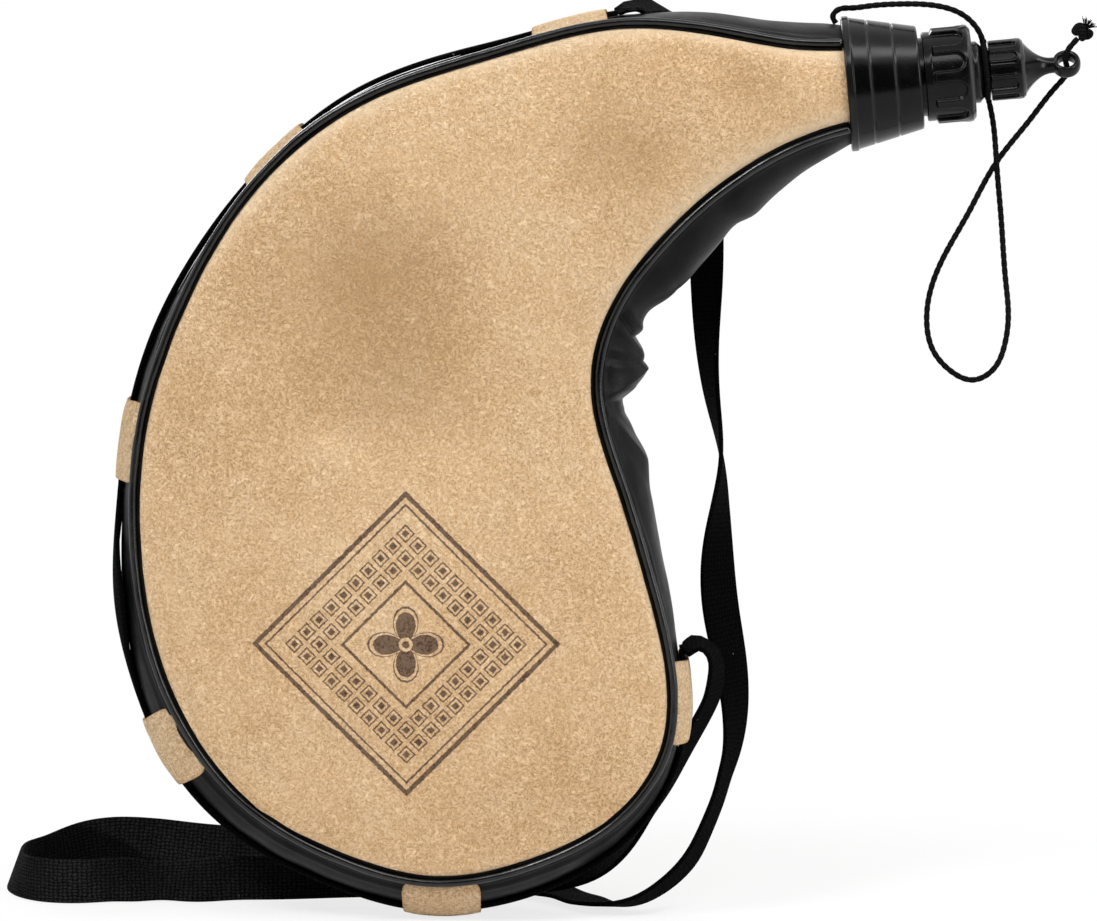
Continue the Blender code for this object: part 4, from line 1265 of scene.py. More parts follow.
    def lift_inside(self, shares: np.ndarray, inset: float) -> np.ndarray:
        """Height of the face over the seam's plane a little way in from its border.

        Args:
            shares: shares of the seam.
            inset: distance in from the border.

        Returns:
            One height for each share.
        """
        seam = self.seam
        run = shares * seam.length
        down = np.where(run < seam.outer_end, run / seam.outer_end, (seam.length - run) / (seam.length - seam.inner_end))
        down = np.clip(down, 0.0, 1.0)
        over = np.clip((run - seam.outer_end) / (seam.inner_end - seam.outer_end), 0.0, 1.0)
        outer, inner, _ = self.margins(down, over)
        wide = np.linalg.norm(outer - inner, axis=1)
        bottom = (run >= seam.outer_end) & (run <= seam.inner_end)
        u = np.where(run < seam.outer_end, inset / wide, 1.0 - inset / wide)
        u = np.where(bottom, over, u)
        v = np.where(bottom, 1.0 - inset / 0.25, down)
        return self.dome(u, v)

    def build(self, finishes: Finishes) -> None:
        """Makes both faces and their welts."""
        for side, node, finish in ((Side.FRONT, "front_panel", finishes["suede_front"]), (Side.BACK, "back_panel", finishes["suede_back"])):
            points, wear_and_painted_light, dark = self.grid(side)
            grid = points if side is Side.BACK else points[:, ::-1]
            flip = slice(None) if side is Side.BACK else slice(None, None, -1)
            face = Surface(f"{side.name.lower()}_face", grid, attributes={"wear_and_painted_light": wear_and_painted_light[:, flip], "painted_shading_and_dark_edges": dark[:, flip]})
            made = face.build()
            add_wall(made, self.wall)
            dress(made, finish, "suede", "bag", node)
            self.build_welt(side, finishes)

    def build_welt(self, side: Side, finishes: Finishes) -> None:
        """The dark seam allowance between face and piping: a closed low profile along the seam."""
        shares = np.linspace(self.seam.sleeve, 1.0 - self.seam.sleeve, 620)
        height = self.lift_inside(shares, 0.0009)[:, None]
        out = np.array([0.72, 0.7, 0.82, 1.05, 1.3, 1.6, 1.9, 2.2, 2.4, 1.2]) * MM
        follow = np.array([1.0, 1.0, 1.0, 0.9, 0.75, 0.5, 0.25, 0.0, 0.0, 0.2])
        rise = np.array([-0.7, -0.12, 0.02, 0.06, 0.02, -0.1, -0.3, -0.6, -1.2, -1.4]) * MM
        lift = height * follow + rise
        spread = np.broadcast_to(out, lift.shape)
        flat = self.seam.beside(shares[:, None], spread, np.zeros(lift.shape))
        wave = lattice_noise(flat, 0.009, 21)
        middle = self.seam.middle(shares)
        y = side.value * (self.seam.half_depth(middle)[:, None] + lift + 0.0001 * wave)
        grid = self.seam.beside(shares[:, None], spread + 0.00012 * wave, y)
        made = Surface(f"{side.name.lower()}_welt", grid, loops_round=True, capped=True).build()
        dress(made, finishes["welt"], "leatherette", "bag")


@dataclass
class Piping:
    """The glossy piping round both seams, and its softly wrinkled skin."""

    seam: Seam
    offset: float = 0.0032
    rows: int = 900
    sides: int = 16

    def build(self, finishes: Finishes) -> None:
        """Sweeps a circle along each seam, a little uneven along its length."""
        shares = np.linspace(self.seam.sleeve, 1.0 - self.seam.sleeve, self.rows)[:, None]
        angle = np.linspace(0.0, 2.0 * math.pi, self.sides, endpoint=False)[None]
        for side, node in ((Side.FRONT, "front_piping"), (Side.BACK, "back_piping")):
            middle = self.seam.middle(shares)
            spot = np.stack([middle[..., 0], np.zeros(middle.shape[:2]), middle[..., 1]], axis=-1)
            seed = 31 if side is Side.FRONT else 37
            sway = 0.00022 * lattice_noise(spot, 0.028, seed) + 0.00008 * lattice_noise(spot, 0.009, seed + 1)
            swell = 1.0 + 0.05 * lattice_noise(spot, 0.005, seed + 2) + 0.03 * lattice_noise(spot, 0.0021, seed + 3)
            radius = self.seam.piping_radius * swell
            out = self.offset + sway + radius * np.cos(angle)
            y = side.value * (self.seam.half_depth(middle) + 0.5 * sway + radius * np.sin(angle))
            grid = self.seam.beside(np.broadcast_to(shares, out.shape), out, y)
            made = Surface(f"{side.name.lower()}_bead", grid, loops_round=True, capped=True).build()
            dress(made, finishes["piping"], "piping", "bag", node)


@dataclass(frozen=True)
class Crease:
    """A crease of the slack gusset from the front piping to the outline and on to the rear."""

    start: tuple[float, float]
    middle: tuple[float, float]
    depth: float
    width: float


@dataclass
class Gusset:
    """The leatherette band between the seams, with its turned-in seam ridges and folds."""

    seam: Seam
    wall: float = 0.0012
    rows: int = 820
    columns: int = 56
    creases: tuple[Crease, ...] = (
        Crease((0.0092, 0.2035), (0.0152, 0.1945), 0.002, 0.0016),
        Crease((0.0034, 0.1892), (0.015, 0.1872), 0.001, 0.0012),
        Crease((0.006, 0.1742), (0.016, 0.1846), -0.0009, 0.003),
        Crease((0.006, 0.1742), (0.016, 0.153), -0.0007, 0.0034),
        Crease((0.006, 0.1744), (0.0092, 0.1744), 0.0011, 0.0014),
        Crease((0.023, 0.223), (0.026, 0.212), 0.0004, 0.0026),
        Crease((0.042, 0.242), (0.048, 0.233), 0.0003, 0.0028),
        Crease((0.023, 0.066), (0.03, 0.062), 0.0005, 0.002),
    )

    def relief(self, shares: np.ndarray, turn: np.ndarray) -> tuple[np.ndarray, np.ndarray]:
        """Height over the plain band: ridges beside the seams, creases and fine wrinkles.

        Args:
            shares: shares of the seam, as a column.
            turn: turns over the section, as a row.

        Returns:
            The height, and a mask of rubbed ridges.
        """
        base = self.seam.over_gusset(shares, turn, 0.0)
        steps = np.linalg.norm(np.diff(base, axis=1), axis=2)
        arc = np.concatenate([np.zeros((len(base), 1)), np.cumsum(steps, axis=1)], axis=1)
        near = np.minimum(arc, arc[:, -1:] - arc)
        middle = self.seam.middle(shares)
        free = ease(-(self.seam.neck.run_of(middle) + 0.001) / 0.008)
        low = ease((0.11 - middle[..., 1]) / 0.05)
        ridge = 0.00055 * bell(near - 0.0024, 0.0008) - 0.0003 * bell(near - 0.0011, 0.0005)
        ridge = ridge + low * (0.0004 * bell(near - 0.005, 0.0009) - 0.00012 * bell(near - 0.0037, 0.0006))
        lift = ridge
        half = math.pi / 2.0
        for number, crease in enumerate(self.creases):
            first = self.seam.share_near(*crease.start)
            last = self.seam.share_near(*crease.middle)
            reach = ease(np.minimum(turn, math.pi - turn) / half)
            shift = np.where(turn > half, (0.0016 if number % 2 else -0.0012) * ease((turn - half) / half), 0.0)
            line = first + (last - first) * reach + shift
            away = np.abs(shares - line) * self.seam.length
            groove = np.exp(-np.sqrt((away / crease.width) ** 2 + 0.06)) * 1.27
            lips = 0.3 * bell(away - 2.6 * crease.width, 1.1 * crease.width)
            strength = ease(near / 0.003) * (0.75 + 0.25 * np.sin(turn))
            lift = lift - crease.depth * (groove - lips) * strength
        broad = 0.00035 * lattice_noise(base, 0.021, 41) + 0.00015 * lattice_noise(base, 0.008, 42)
        drawn = base * (1.0, 0.25, 1.0)
        pucker = 0.00022 * lattice_noise(drawn, 0.0042, 43) * bell(near - 0.003, 0.0035)
        lift = lift + (broad + pucker) * ease(near / 0.002)
        return lift * free, bell(near - 0.0024, 0.0007) * 0.5

    def build(self, finishes: Finishes) -> None:
        """Makes the band, cut finer where it folds."""
        plain = np.linspace(0.0, 1.0, self.rows - 240)
        shares = np.sort(np.append(plain, np.linspace(0.803, 0.902, 240)))[:, None]
        t = np.linspace(0.0, 1.0, self.columns)
        turn = (math.pi * (0.45 * t + 0.55 * (0.5 - 0.5 * np.cos(math.pi * t))))[None]
        lift, wear_and_painted_light = self.relief(shares, turn)
        grid = self.seam.over_gusset(shares, turn, lift)
        made = Surface("gusset_band", grid, attributes={"wear_and_painted_light": wear_and_painted_light}).build()
        add_wall(made, self.wall)
        dress(made, finishes["leatherette"], "leatherette", "bag", "gusset")


# Straps, loops and cords.


def strip_section(width: float, wall: float, flat: int, corner: int = 3) -> tuple[np.ndarray, np.ndarray]:
    """A strap's cross-section: a rectangle whose two narrow sides are half circles.

    Args:
        width: the strap's width.
        wall: its thickness.
        flat: points across each wide side.
        corner: points round each narrow side.

    Returns:
        The places across, and the heights over the strap's middle, going once round.
    """
    half, reach = wall / 2.0, width / 2.0 - wall / 2.0
    across = np.linspace(-reach, reach, flat)
    bow = np.linspace(math.pi / 2.0, -math.pi / 2.0, corner + 2)[1:-1]
    sides = np.concatenate([across, reach + half * np.cos(bow), across[::-1], -reach - half * np.cos(bow)])
    heights = np.concatenate([np.full(flat, half), half * np.sin(bow), np.full(flat, -half), -half * np.sin(bow)])
    return sides, heights


def strip_uv(along: np.ndarray, sides: np.ndarray, heights: np.ndarray) -> np.ndarray:
    """UV in metres for a swept strip: U along its length and V round its section.

    Args:
        along: running length of each row.
        sides: the section's places across.
        heights: the section's heights.

    Returns:
        One UV for each point, with a row and a column more to close it.
    """
    ring = np.stack([sides, heights], axis=1)
    round_it = running_length(np.vstack([ring, ring[:1]]))
    rows = np.append(along, along[-1] + along[1] - along[0])
    return pairs(rows, round_it)


@dataclass
class StrapLoops:
    """The six suede loops, drawn over the strap and caught under the piping on both sides."""

    seam: Seam
    lengths: tuple[float, ...] = (0.0256, 0.0262, 0.0272, 0.0257, 0.0264, 0.0282)
    span: float = 0.0322
    wall: float = 0.0012
    corner: float = 0.0018
    strap_width: float = 0.015
    strap_wall: float = 0.0015
    strap_gap: float = 0.0003
    resting: int = 4

    def lift(self, y: np.ndarray) -> np.ndarray:
        """Height of the outer side over the gusset: a plateau on the strap that slopes to the seams."""
        plain = self.seam.gap + self.wall
        over = ease((0.0146 - np.abs(y)) / (0.0146 - self.strap_width / 2.0 + 0.0004))
        tucked = 0.0008 * ease((np.abs(y) - 0.0142) / 0.002)
        return plain + (self.strap_wall + self.strap_gap) * over - tucked

    def build(self, finishes: Finishes) -> None:
        """Makes the loops: a rounded patch laid over the gusset's section."""
        along = np.sin(np.linspace(-math.pi / 2.0, math.pi / 2.0, 33))[:, None]
        t = np.linspace(-1.0, 1.0, 69)[None]
        y = self.span / 2.0 * (0.8 * t + 0.2 * np.sin(t * math.pi / 2.0))
        inner = np.clip((np.abs(y) - (self.span / 2.0 - self.corner)) / self.corner, 0.0, 1.0)
        cut_back = self.corner * (1.0 - np.sqrt(1.0 - inner**2)) * 0.75 + 0.0006 * np.cos(y / self.span * math.pi) ** 2
        for number, (place, length) in enumerate(zip(LOOP_PLACES, self.lengths)):
            reach = place + np.array([-0.5, 0.5]) * length / self.seam.length
            ends = self.seam.over_gusset(reach[:, None], self.seam.turn_at(y), self.lift(y))
            stretch = np.linalg.norm(ends[1] - ends[0], axis=1) / length
            shares = place + along * (length / 2.0 - cut_back) / stretch / self.seam.length
            base = self.seam.over_gusset(shares, self.seam.turn_at(y), 0.0)
            ripple = 0.00016 * lattice_noise(base, 0.007, 51 + number) + 0.00007 * lattice_noise(base, 0.0028, 61 + number)
            slack = 0.00022 * (1.0 - along**2) * ease((0.0165 - np.abs(y)) / 0.006) - 0.00018 * np.abs(along) ** 7
            grid = self.seam.over_gusset(shares, self.seam.turn_at(y), self.lift(y) + ripple + slack)
            if number == self.resting:
                grid[..., 2] = np.maximum(grid[..., 2], 0.0)
            shape = grid.shape[:2]
            cut = np.broadcast_to(np.abs(along) ** 40, shape)
            # Lighter over the strap's middle, and darker along the loop's cut edges, with random mottle.
            light = np.broadcast_to(0.5 * ease((0.0095 - np.abs(y)) / 0.006), shape)
            marks = {"painted_shading_and_dark_edges": cut * 1.2 + 0.1 * lattice_noise(base, 0.01, 71 + number), "wear_and_painted_light": light * (1.0 - cut)}
            made = Surface(f"loop_{number + 1}", grid, attributes=marks).build()
            add_wall(made, self.wall)
            add_soft_edges(made, 0.00025)
            dress(made, finishes["suede_loops"], "suede_trim", "bag", f"strap_loop_{number + 1}")


# The free webbing's middle from the first loop over the neck, down behind the bag, out and back on
# the surface it lies on and up to the sixth loop: each row has the place in millimetres and then
# the direction of the strap's width there.
STRAP_ROUTE = (
    (11.4, 0.8, 303.3, -0.03, 0.98, 0.1), (15.8, 3.4, 304.1, -0.14, 0.9, 0.24),
    (20.8, 8.6, 304.2, -0.34, 0.82, 0.26), (25.2, 16, 301, -0.6, 0.68, 0.18),
    (28.4, 22.8, 294.5, -0.8, 0.52, 0.06), (31.5, 27.5, 286.2, -0.88, 0.4, 0),
    (35.6, 30.8, 268, -0.9, 0.4, 0), (37, 30.2, 240, -0.8, 0.6, 0), (37.4, 28, 212.5, -0.7, 0.7, 0),
    (37.6, 26.5, 191.5, -0.5, 0.85, 0), (39.5, 25, 172, -0.3, 0.95, 0), (42.4, 24, 153, 0, 1, 0),
    (42, 23.5, 135, 0.4, 0.9, 0), (41.3, 23, 118.3, 0.7, 0.7, 0), (42.5, 23, 101, 0.8, 0.6, 0),
    (45.5, 23.3, 84.4, 0.72, 0.68, 0), (47.4, 23.6, 65, 0.53, 0.84, -0.05),
    (45.9, 22.2, 51.8, 0.36, 0.93, -0.08), (44, 20.2, 45.2, 0.28, 0.96, -0.12),
    (42.1, 18.2, 38.6, 0.25, 0.95, -0.16), (39.5, 15.8, 31.8, 0.25, 0.95, -0.2),
    (36.6, 13.4, 25.3, 0.25, 0.94, -0.25), (33.2, 11.2, 19, 0.25, 0.92, -0.3),
    (27.6, 9, 12.6, 0.22, 0.92, -0.33), (20.3, 7.2, 7.2, 0.14, 0.93, -0.34),
    (13.2, 6.2, 4, 0.04, 0.95, -0.3), (5, 9.2, 2.4, 0, 0.98, -0.16), (-1.5, 16.5, 2.2, 0.05, 1, -0.02),
    (-8.5, 28, 2.3, 0.05, 1, 0), (-19, 40, 3.4, 0.05, 0.97, 0.22), (-35, 51, 5.5, 0, 0.85, 0.5),
    (-60, 62, 7.6, 0, 0.45, 0.9), (-86, 71.5, 8.2, 0, 0.1, 1), (-112, 79.5, 8.3, 0, 0, 1),
    (-138, 85, 8.9, 0, 0, 1), (-157, 86.8, 10.7, 0, 0, 1), (-171, 86.6, 11.5, 0, 0, 1),
    (-181.5, 84, 10.3, 0.05, 0, 1), (-192, 75, 7.8, 0.18, 0, 0.98), (-198.5, 62.5, 7.6, 0.28, 0, 0.95),
    (-199.6, 47, 7.6, 0.34, 0, 0.93), (-195.5, 31, 7.8, 0.2, -0.1, 0.97), (-185.5, 19.5, 8, 0.05, 0, 1),
    (-172, 18.5, 8, 0, 0, 1), (-161, 23.5, 7.8, 0, 0.15, 0.98), (-153, 27.5, 6.8, 0, 0.55, 0.83),
    (-145.5, 28.5, 6.6, 0, 0.62, 0.78), (-137, 26.5, 7.1, 0, 0.4, 0.91), (-127, 24.5, 8, 0, 0.05, 1),
    (-110, 26.5, 8.1, 0, 0, 1), (-87, 31, 8.1, 0, 0, 1), (-62, 31.5, 8.3, 0, 0, 1),
    (-42, 28.5, 8.6, 0, 0.1, 1), (-24, 24.5, 10.4, -0.1, 0.45, 0.88), (-11, 21, 11.2, -0.15, 0.75, 0.6),
    (0, 18, 13.4, -0.15, 0.92, 0.3), (10.2, 15, 20.6, -0.05, 0.96, 0.15),
    (18.4, 12.5, 31, 0.08, 0.97, 0.05), (23.6, 10, 40, 0.18, 0.95, 0), (27, 7.8, 47.2, 0.26, 0.95, 0),
    (30, 6, 54.1, 0.34, 0.92, 0), (33.4, 4, 61, 0.38, 0.91, 0), (36.8, 2.8, 67.8, 0.4, 0.9, 0),
    (39.7, 1.8, 74.3, 0.38, 0.91, 0.05), (40.9, 1, 81.5, 0.32, 0.94, 0.05),
    (40.6, 0.4, 86.6, 0.24, 0.97, 0.08), (39, 0, 90, 0.14, 0.98, 0.1), (36.4, 0, 92, 0.04, 0.98, 0.14),
    (33.6, 0, 92.2, -0.02, 0.96, 0.24), (31.3, 0, 90.8, 0, 0.97, 0.24),
)


@dataclass
class StrapWebbing:
    """The black webbing: the stretch held along the gusset and the free stretch behind the bag."""

    seam: Seam
    width: float = 0.015
    wall: float = 0.0015
    gap: float = 0.0006
    bow: float = 0.001
    slip: float = 0.0062
    lead: float = 0.0027
    loop_length: float = 0.0266
    crease_left: float = -0.184
    crease_reach: float = 0.03
    crease_lean: float = 0.5
    flat: int = 22

    def ends(self) -> tuple[float, float]:
        """Shares of the seam where the held stretch ends, just past the first and the sixth loop."""
        half = (self.loop_length / 2.0 + self.wall) / self.seam.length
        return LOOP_PLACES[0] - half, LOOP_PLACES[-1] + half

    def bow_at(self, shares: np.ndarray) -> np.ndarray:
        """How far the strap stands off between the third and the fourth loop: a squared sine."""
        third, fourth = LOOP_PLACES[2:4]
        half = self.loop_length / 2.0 / self.seam.length
        return self.bow * np.sin(math.pi * np.clip((shares - third - half) / (fourth - third - 2 * half), 0.0, 1.0)) ** 2

    def centre(self) -> np.ndarray:
        """The free stretch's middle line and its width direction, as rows of six."""
        first, last = self.ends()
        gap = 1.5 * self.gap / self.seam.length
        step = self.lead / self.seam.length
        start = self.seam.over_gusset(first - gap - step * np.arange(2), math.pi / 2.0, self.gap + self.wall / 2.0)
        end = self.seam.over_gusset(last + gap + step * np.zeros(1), math.pi / 2.0, self.gap + self.wall / 2.0)
        route = np.array(STRAP_ROUTE, float) * ([MM] * 3 + [1.0] * 3)
        level = (0.0, 1.0, 0.0)
        rows = [np.hstack([start, np.tile(level, (2, 1))]), route, np.hstack([end, np.tile(level, (1, 1))])]
        table = np.vstack(rows)
        table[:, 3:] = unit(table[:, 3:])
        return table

    def crease(self, middle: np.ndarray, sides: np.ndarray) -> np.ndarray:
        """How far the far strand leans back above a crease that runs down across it.

        Args:
            middle: the strap's middle line.
            sides: places across the strap.

        Returns:
            The push towards +Y for each place.
        """
        x, y, _ = middle.T[..., None]
        half = self.width / 2.0
        height = half * (1.0 - 2.0 * (x - self.crease_left) / self.crease_reach)
        above = np.clip(sides - np.maximum(height, -half), 0.0, self.width)
        return self.crease_lean * above * ease((y - 0.06) / 0.015) * ease((-0.085 - x) / 0.03)

    def build_free(self, finishes: Finishes) -> bpy.types.Object:
        """Returns:
            The strap.
        """
        table = even_curve(self.centre(), 430)
        middle = table[:, :3]
        along = unit(np.gradient(middle, axis=0))
        sideways = unit(table[:, 3:] - along * (table[:, 3:] * along).sum(axis=1, keepdims=True))
        normal = np.cross(sideways, along)
        sides, heights = strip_section(self.width, self.wall, self.flat)
        grid = middle[:, None] + sideways[:, None] * sides[:, None] + normal[:, None] * heights[:, None]
        grid[..., 1] += self.crease(middle, sides)
        run = running_length(middle)
        x, y, z = middle.T
        # Painted light: lighter on the near strand, over the neck and above the far strand's crease, where light falls.
        near = ease((-0.01 - x) / 0.05) * (1.0 - 0.55 * ease((y - 0.055) / 0.02))
        top = ease((z - 0.292) / 0.01)
        painted_light = np.maximum(near, 0.7 * top)[:, None] + 0.5 * ease(self.crease(middle, sides) / 0.0008)
        uv = strip_uv(run, sides, heights)
        strap = Surface("free_webbing", grid, loops_round=True, capped=True, uv=uv, attributes={"painted_light": painted_light})
        made = strap.build()
        dress(made, finishes["webbing"], "webbing", "bag", "shoulder_strap")
        path = even_curve(middle, 40)
        return made

    def build_held(self, finishes: Finishes) -> None:
        """Lays the section along the gusset, a little into the free stretch at both ends."""
        first, last = self.ends()
        extra = 1.3 * self.gap / self.seam.length
        shares = np.linspace(first - extra, last + extra, 330)[:, None]
        sides, heights = strip_section(self.width, self.wall, self.flat)
        lift = self.gap + self.wall / 2.0 + heights[None] + self.bow_at(shares)
        slipped = sides[None] - self.slip * self.bow_at(shares) / self.bow
        grid = self.seam.over_gusset(shares, self.seam.turn_at(slipped), lift)
        run = shares[:, 0] * self.seam.length
        made = Surface("held_webbing", grid, loops_round=True, capped=True, uv=strip_uv(run, sides, heights)).build()
        dress(made, finishes["webbing"], "webbing", "bag", "edge_strap")


def braid_grid(path: np.ndarray, radius: float, sides: int = 24, pick: float = 0.0026) -> tuple[np.ndarray, np.ndarray]:
    """A braided cord: a tube whose radius rises where either of two opposed helices passes.

    Args:
        path: middle line, evenly spaced.
        radius: the cord's radius.
        sides: points round it.
        pick: length of one turn of the pattern.

    Returns:
        The points and their UV in metres.
    """
    along = unit(np.gradient(path, axis=0))
    across = unit(np.array([0.0, 1.0, 0.0]) - along * along[:, 1:2])
    normal = np.cross(along, across)
    angle = turns(sides)[None]
    run = running_length(path)[:, None]
    phase = 2.0 * math.pi * run / pick
    strands = np.maximum(np.cos(4.0 * angle + phase), np.cos(4.0 * angle - phase))
    size = radius * (0.95 + 0.09 * strands)
    grid = path[:, None] + across[:, None] * (size * np.cos(angle))[..., None] + normal[:, None] * (size * np.sin(angle))[..., None]
    rows = np.append(run[:, 0], run[-1, 0] + run[1, 0])
    uv = pairs(rows, np.linspace(0.0, 2.0 * math.pi * radius, sides + 1))
    return grid, uv


def joined(name: str, pieces: Sequence[bpy.types.Object]) -> bpy.types.Object:
    """One object from several, whose meshes are put together.

    Args:
        name: its name.
        pieces: the objects, which are removed.

    Returns:
        The new object.
    """
    work = bmesh.new()
    for piece in pieces:
        work.from_mesh(piece.data)
        bpy.data.objects.remove(piece, do_unlink=True)
    mesh = bpy.data.meshes.new(name)
    work.to_mesh(mesh)
    work.free()
    mesh.shade_smooth()
    return add_object(name, mesh)


@dataclass
class KeeperCord:
    """The braided cord: bridge from collar to cap, turn in the groove, hanging loop and knot."""

    neck: Neck
    radius: float = 0.00095
    wrap_radius: float = 0.00885
    wrap_place: float = 0.0463
    eye_place: float = 0.073
    eye_radius: float = 0.00475
    knot_radius: float = 0.0033
    knot_offset: Point = (0.005, -0.0048, 0.0106)
    bridge: tuple[tuple[float, float], ...] = (
        (-0.0015, 0.0203), (-0.0023, 0.0228), (-0.0006, 0.0246), (0.0036, 0.0249), (0.0102, 0.025),
        (0.0202, 0.0247), (0.0284, 0.0238), (0.0348, 0.0222), (0.04, 0.0196), (0.044, 0.0155),
        (0.0458, 0.0118), (0.0462, 0.0101),
    )
    hanging: tuple[Point, ...] = (
        (0.1306, -0.0002, 0.2737), (0.1318, -0.001, 0.268), (0.1333, -0.0016, 0.2528),
        (0.135, -0.001, 0.234), (0.1366, 0.0, 0.2142), (0.1376, 0.0004, 0.2013), (0.1363, 0.0004, 0.1918),
        (0.133, 0.0002, 0.1846), (0.1261, 0.0, 0.1808), (0.1181, -0.0002, 0.1842),
        (0.1125, -0.0004, 0.1911), (0.1106, -0.0002, 0.1995), (0.1119, 0.0004, 0.211),
        (0.1158, 0.001, 0.221), (0.1241, 0.0018, 0.236), (0.1333, 0.0024, 0.2528),
        (0.1444, 0.0034, 0.267), (0.1535, 0.0046, 0.2784),
    )

    def hole(self) -> np.ndarray:
        """The direction of the eye's hole: upwards and towards the front by equal parts."""
        return (self.neck.up - self.neck.back) * math.cos(math.radians(45))

    def loop_route(self) -> tuple[np.ndarray, np.ndarray]:
        """The hanging loop's points, and the knot's middle."""
        eye = self.neck.point(self.eye_place, 0.0)
        through = [eye + self.hole() * share * self.eye_radius for share in (-1.0, 0.0, 1.0)]
        knot = eye + np.array(self.knot_offset)
        end = knot - unit(knot - through[-1]) * (self.knot_radius - 0.0008)
        return np.array([*self.hanging, *through, end]), knot

    def build(self, finishes: Finishes) -> None:
        angle = turns(240)
        ring = self.neck.turned(np.full(240, self.wrap_place), np.full(240, self.wrap_radius), angle)
        wrap = self.build_wrap(ring, finishes)
        route, knot_place = self.loop_route()
        knot = self.build_knot(knot_place, route[-1], finishes)
        bridge = even_curve(np.array([self.neck.point(along, height) for along, height in self.bridge]), 280)
        grid, uv = braid_grid(bridge, self.radius)
        made = Surface("cord_bridge", grid, loops_round=True, capped=True, uv=uv).build()
        dress(made, finishes["braid"], "braid", "", "keeper_bridge")
        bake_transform(made, "bag", "cap_carrier", start=tuple(self.neck.point(0.012, 0.0247)), end=tuple(self.neck.point(0.036, 0.022)))
        [tuple(p) for p in even_curve(bridge, 18)]
        loop = even_curve(route, 1080)
        grid, uv = braid_grid(loop, self.radius)
        made = Surface("cord_loop", grid, loops_round=True, capped=True, uv=uv).build()
        dress(made, finishes["braid"], "braid", "", "keeper_loop")
        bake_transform(made, "filler_cap", "stopper_carrier", start=(0.138, 0.0, 0.262), end=(0.154, 0.0, 0.278))
        [tuple(p) for p in even_curve(loop, 40)]

    def build_wrap(self, ring: np.ndarray, finishes: Finishes) -> bpy.types.Object:
        """The turn in the groove: a braided ring with a small hitch where the bridge meets it.

        Returns:
            The wrap.
        """
        spoke = unit(ring - self.neck.point(self.wrap_place, 0.0))
        angle = turns(24)[None]
        phase = 2.0 * math.pi * 21.0 * np.linspace(0.0, 1.0, len(ring), endpoint=False)[:, None]
        strands = np.maximum(np.cos(4.0 * angle + phase), np.cos(4.0 * angle - phase))
        size = self.radius * (0.95 + 0.09 * strands)
        grid = ring[:, None] + spoke[:, None] * (size * np.cos(angle))[..., None]
        grid = grid + self.neck.axis * (size * np.sin(angle))[..., None]
        run = np.linspace(0.0, 2.0 * math.pi * self.wrap_radius, len(ring) + 1)
        uv = pairs(run, np.linspace(0.0, 0.006, 25))
        turn = Surface("wrap_turn", grid, loops_along=True, loops_round=True, uv=uv).build()
        t = np.linspace(0.0, 1.0, 60)
        swing = (t - 0.5) * 5.2
        height = self.wrap_radius + 0.0013 * np.cos(swing * 1.2)
        path = self.neck.turned(self.wrap_place + 0.0004 * np.sin(3.0 * swing), height, math.pi + 0.24 * np.sin(swing))
        hitch_grid, hitch_uv = braid_grid(path, 0.8 * self.radius)
        hitch = Surface("wrap_hitch", hitch_grid, loops_round=True, capped=True, uv=hitch_uv).build()
        made = joined("cord_wrap", [turn, hitch])
        return dress(made, finishes["braid"], "braid", "cap_carrier", "keeper_wrap")

    def build_knot(self, place: np.ndarray, end: np.ndarray, finishes: Finishes) -> bpy.types.Object:
        """An overhand knot, a trefoil curve carried as a braided tube, with its frayed strands.

        Args:
            place: the knot's middle.
            end: where the loop runs into it.
            finishes: the materials.

        Returns:
            The knot.
        """
        t = turns(200)
        trefoil = np.stack([np.sin(t) + 1.7 * np.sin(2 * t), np.cos(t) - 1.7 * np.cos(2 * t), -1.3 * np.sin(3 * t)], axis=1)
        outwards = unit(place - end)
        side = unit(np.cross(outwards, self.neck.back))
        frame = np.stack([side, np.cross(side, outwards), outwards], axis=0)
        path = place + (trefoil * 0.001) @ frame
        grid, uv = braid_grid(path, 0.00115, sides=18)
        pieces = [Surface("knot_turns", grid, loops_along=True, loops_round=True, uv=uv).build()]
        share = np.linspace(0.0, 1.0, 12)[:, None]
        ring = turns(6)[None]
        for number in range(34):
            lean = 2.399963 * number
            spread = 0.25 + 0.75 * ((number * 0.618034) % 1.0)
            reach = 0.0031 + 0.0012 * ((number * 0.754878) % 1.0)
            heading = unit(outwards + spread * (math.cos(lean) * frame[0] + math.sin(lean) * frame[1]))
            curl = math.cos(1.7 * number) * frame[0] + math.sin(1.7 * number) * frame[1]
            middle = place + outwards * 0.0012 + heading * share * reach + curl * share**2 * 0.0012
            thick = 0.00026 * (1.0 - 0.5 * share)
            grid = middle[:, None] + (thick * np.cos(ring))[..., None] * frame[0] + (thick * np.sin(ring))[..., None] * frame[1]
            uv = pairs(np.linspace(0, reach, 13), np.linspace(0, 0.0008, 7))
            pieces.append(Surface(f"strand_{number}", grid, loops_round=True, capped=True, uv=uv).build())
        made = joined("frayed_knot", pieces)
        return dress(made, finishes["braid"], "braid", "stopper", "keeper_knot")


# The nozzle's hard pieces.


